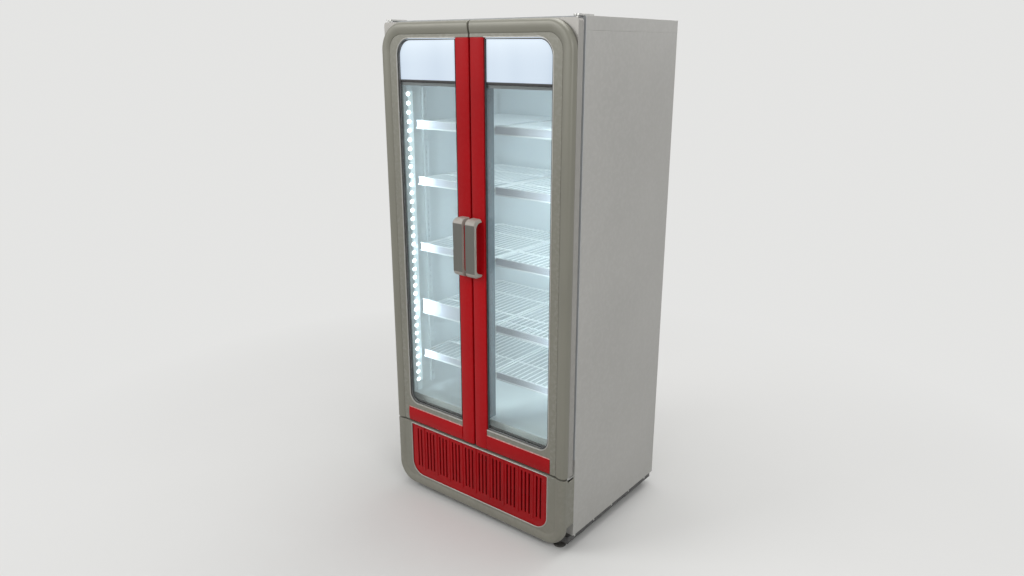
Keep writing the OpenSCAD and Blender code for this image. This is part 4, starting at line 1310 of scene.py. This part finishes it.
def build_world(strength):
    """Even pale light, and a paler background for the camera, metal and glass."""
    world = bpy.data.worlds.new("studio")
    world.use_nodes = True
    bpy.context.scene.world = world
    tree = world.node_tree
    light = tree.nodes["Background"]
    light.inputs["Color"].default_value = (1.0, 0.99, 0.97, 1.0)
    light.inputs["Strength"].default_value = strength
    shown = out(tree, "ShaderNodeBackground", {"Color": BACKGROUND, "Strength": 1.0})
    both = out(tree, "ShaderNodeMixShader", {0: seen_directly(tree), 1: light.outputs[0], 2: shown})
    tree.links.new(both, tree.nodes["World Output"].inputs["Surface"])


def build_stage():
    """Floor, lamps, background and camera."""
    stage = bpy.context.scene.cooler_stage
    disc = bmesh.new()
    bmesh.ops.create_circle(disc, cap_ends=True, segments=96, radius=14.0)
    floor = from_bmesh("floor", disc)
    floor.data.materials.append(floor_finish())
    build_world(stage.sky)
    area_lamp("key_lamp", (-2.6, -3.6, 3.4), (0, 0, 1.0), (2.4, 2.4), stage.key)
    area_lamp("fill_lamp", (3.4, -2.2, 2.6), (0, 0, 1.0), (2.2, 2.2), stage.fill)
    area_lamp("top_lamp", (0.2, 0.4, 4.2), (0, 0, 0), (2.6, 2.6), stage.top)
    area_lamp("back_lamp", (0.5, 4.0, 3.0), (0, 0, 1.0), (2.4, 2.0), stage.fill)
    low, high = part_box("light_strips")
    tint = bpy.context.scene.cooler_colours.light
    for name, sign in (("left_inside_lamp", 1), ("right_inside_lamp", -1)):
        place = (sign * (X_LINER + 0.022), (low.y + high.y) / 2, (low.z + high.z) / 2)
        aim = (place[0] * 0.15, place[1] + 0.30, place[2])
        area_lamp(name, place, aim, (0.02, high.z - low.z - 0.04), stage.inside, tint, False, 130)
    camera = link("camera", bpy.data.cameras.new("camera"))
    camera.data.lens = stage.lens
    camera.location = stage.camera
    way = Vector(stage.aim) - Vector(stage.camera)
    camera.rotation_euler = way.to_track_quat("-Z", "Y").to_euler()
    bpy.context.scene.camera = camera
    bpy.context.scene.view_settings.view_transform = "Standard"


# Operators

class BuildStage(bpy.types.Operator):
    """Set the floor, background, lamps and camera"""
    bl_idname = "cooler.build_stage"
    bl_label = "Stage"

    def execute(self, context):
        build_stage()
        return {"FINISHED"}


class BuildCabinet(bpy.types.Operator):
    """Build the painted walls, the post and the strip round the mouth"""
    bl_idname = "cooler.build_cabinet"
    bl_label = "Cabinet"

    def execute(self, context):
        build_walls()
        return {"FINISHED"}


class BuildColdSpace(bpy.types.Operator):
    """Build the white lining, the evaporator's cover and its fan guards"""
    bl_idname = "cooler.build_cold_space"
    bl_label = "Cold space"

    def execute(self, context):
        build_lining()
        build_guards()
        return {"FINISHED"}


class BuildBase(bpy.types.Operator):
    """Build the base, its feet, the machine space and the rear grille"""
    bl_idname = "cooler.build_base"
    bl_label = "Base"

    def execute(self, context):
        build_base()
        build_louvres()
        return {"FINISHED"}


class BuildLowerPanel(bpy.types.Operator):
    """Build the silver lower panel with its red grille"""
    bl_idname = "cooler.build_lower_panel"
    bl_label = "Lower panel"

    def execute(self, context):
        build_lower_panel()
        return {"FINISHED"}


class BuildShelves(bpy.types.Operator):
    """Build the wire shelves with their price rails"""
    bl_idname = "cooler.build_shelves"
    bl_label = "Shelves"

    def execute(self, context):
        build_shelves()
        build_tickets()
        return {"FINISHED"}


class BuildLights(bpy.types.Operator):
    """Build the light strips and their lit points"""
    bl_idname = "cooler.build_lights"
    bl_label = "Lights"

    def execute(self, context):
        build_lights()
        return {"FINISHED"}


class BuildDoors(bpy.types.Operator):
    """Build the doors' frames, bars, beads, gaskets, seals and glass"""
    bl_idname = "cooler.build_doors"
    bl_label = "Doors"

    def execute(self, context):
        build_frames()
        build_bars()
        build_lips()
        build_gaskets()
        build_seals()
        build_glass()
        return {"FINISHED"}


class BuildHeaders(bpy.types.Operator):
    """Build the lit headers"""
    bl_idname = "cooler.build_headers"
    bl_label = "Headers"

    def execute(self, context):
        build_headers()
        return {"FINISHED"}


class BuildHandles(bpy.types.Operator):
    """Build the loop handles"""
    bl_idname = "cooler.build_handles"
    bl_label = "Handles"

    def execute(self, context):
        build_handles()
        return {"FINISHED"}


class BuildHinges(bpy.types.Operator):
    """Build the hinge plates and all screws"""
    bl_idname = "cooler.build_hinges"
    bl_label = "Hinges"

    def execute(self, context):
        build_hinges()
        build_screws()
        return {"FINISHED"}


class BuildMachinery(bpy.types.Operator):
    """Build the pipes and fans"""
    bl_idname = "cooler.build_machinery"
    bl_label = "Machinery"

    def execute(self, context):
        build_pipes()
        build_fans()
        return {"FINISHED"}


OPERATORS = (BuildStage, BuildCabinet, BuildColdSpace, BuildBase, BuildLowerPanel, BuildShelves,
             BuildLights, BuildDoors, BuildHeaders, BuildHandles, BuildHinges, BuildMachinery)


class CoolerPanel(bpy.types.Panel):
    """Lists the cooler's pieces, sizes and colours"""
    bl_idname = "VIEW3D_PT_cooler"
    bl_label = "Drinks Cooler"
    bl_space_type = "VIEW_3D"
    bl_region_type = "UI"
    bl_category = "Cooler"

    def draw(self, context):
        column = self.layout.column(align=True)
        for group in (context.scene.cooler_shape, context.scene.cooler_colours,
                      context.scene.cooler_stage):
            for name in group.__annotations__:
                column.prop(group, name)
        for operator in OPERATORS:
            column.operator(operator.bl_idname)


CLASSES = (CoolerShape, CoolerColours, CoolerStage, *OPERATORS, CoolerPanel)


def register():
    for item in CLASSES:
        bpy.utils.register_class(item)
    bpy.types.Scene.cooler_shape = PointerProperty(type=CoolerShape)
    bpy.types.Scene.cooler_colours = PointerProperty(type=CoolerColours)
    bpy.types.Scene.cooler_stage = PointerProperty(type=CoolerStage)


def unregister():
    del bpy.types.Scene.cooler_stage
    del bpy.types.Scene.cooler_colours
    del bpy.types.Scene.cooler_shape
    for item in reversed(CLASSES):
        bpy.utils.unregister_class(item)


def main():
    register()
    bpy.ops.cooler.build_stage()
    bpy.ops.cooler.build_cabinet()
    bpy.ops.cooler.build_cold_space()
    bpy.ops.cooler.build_base()
    bpy.ops.cooler.build_lower_panel()
    bpy.ops.cooler.build_shelves()
    bpy.ops.cooler.build_lights()
    bpy.ops.cooler.build_doors()
    bpy.ops.cooler.build_headers()
    bpy.ops.cooler.build_handles()
    bpy.ops.cooler.build_hinges()
    bpy.ops.cooler.build_machinery()


if __name__ == "__main__":
    main()
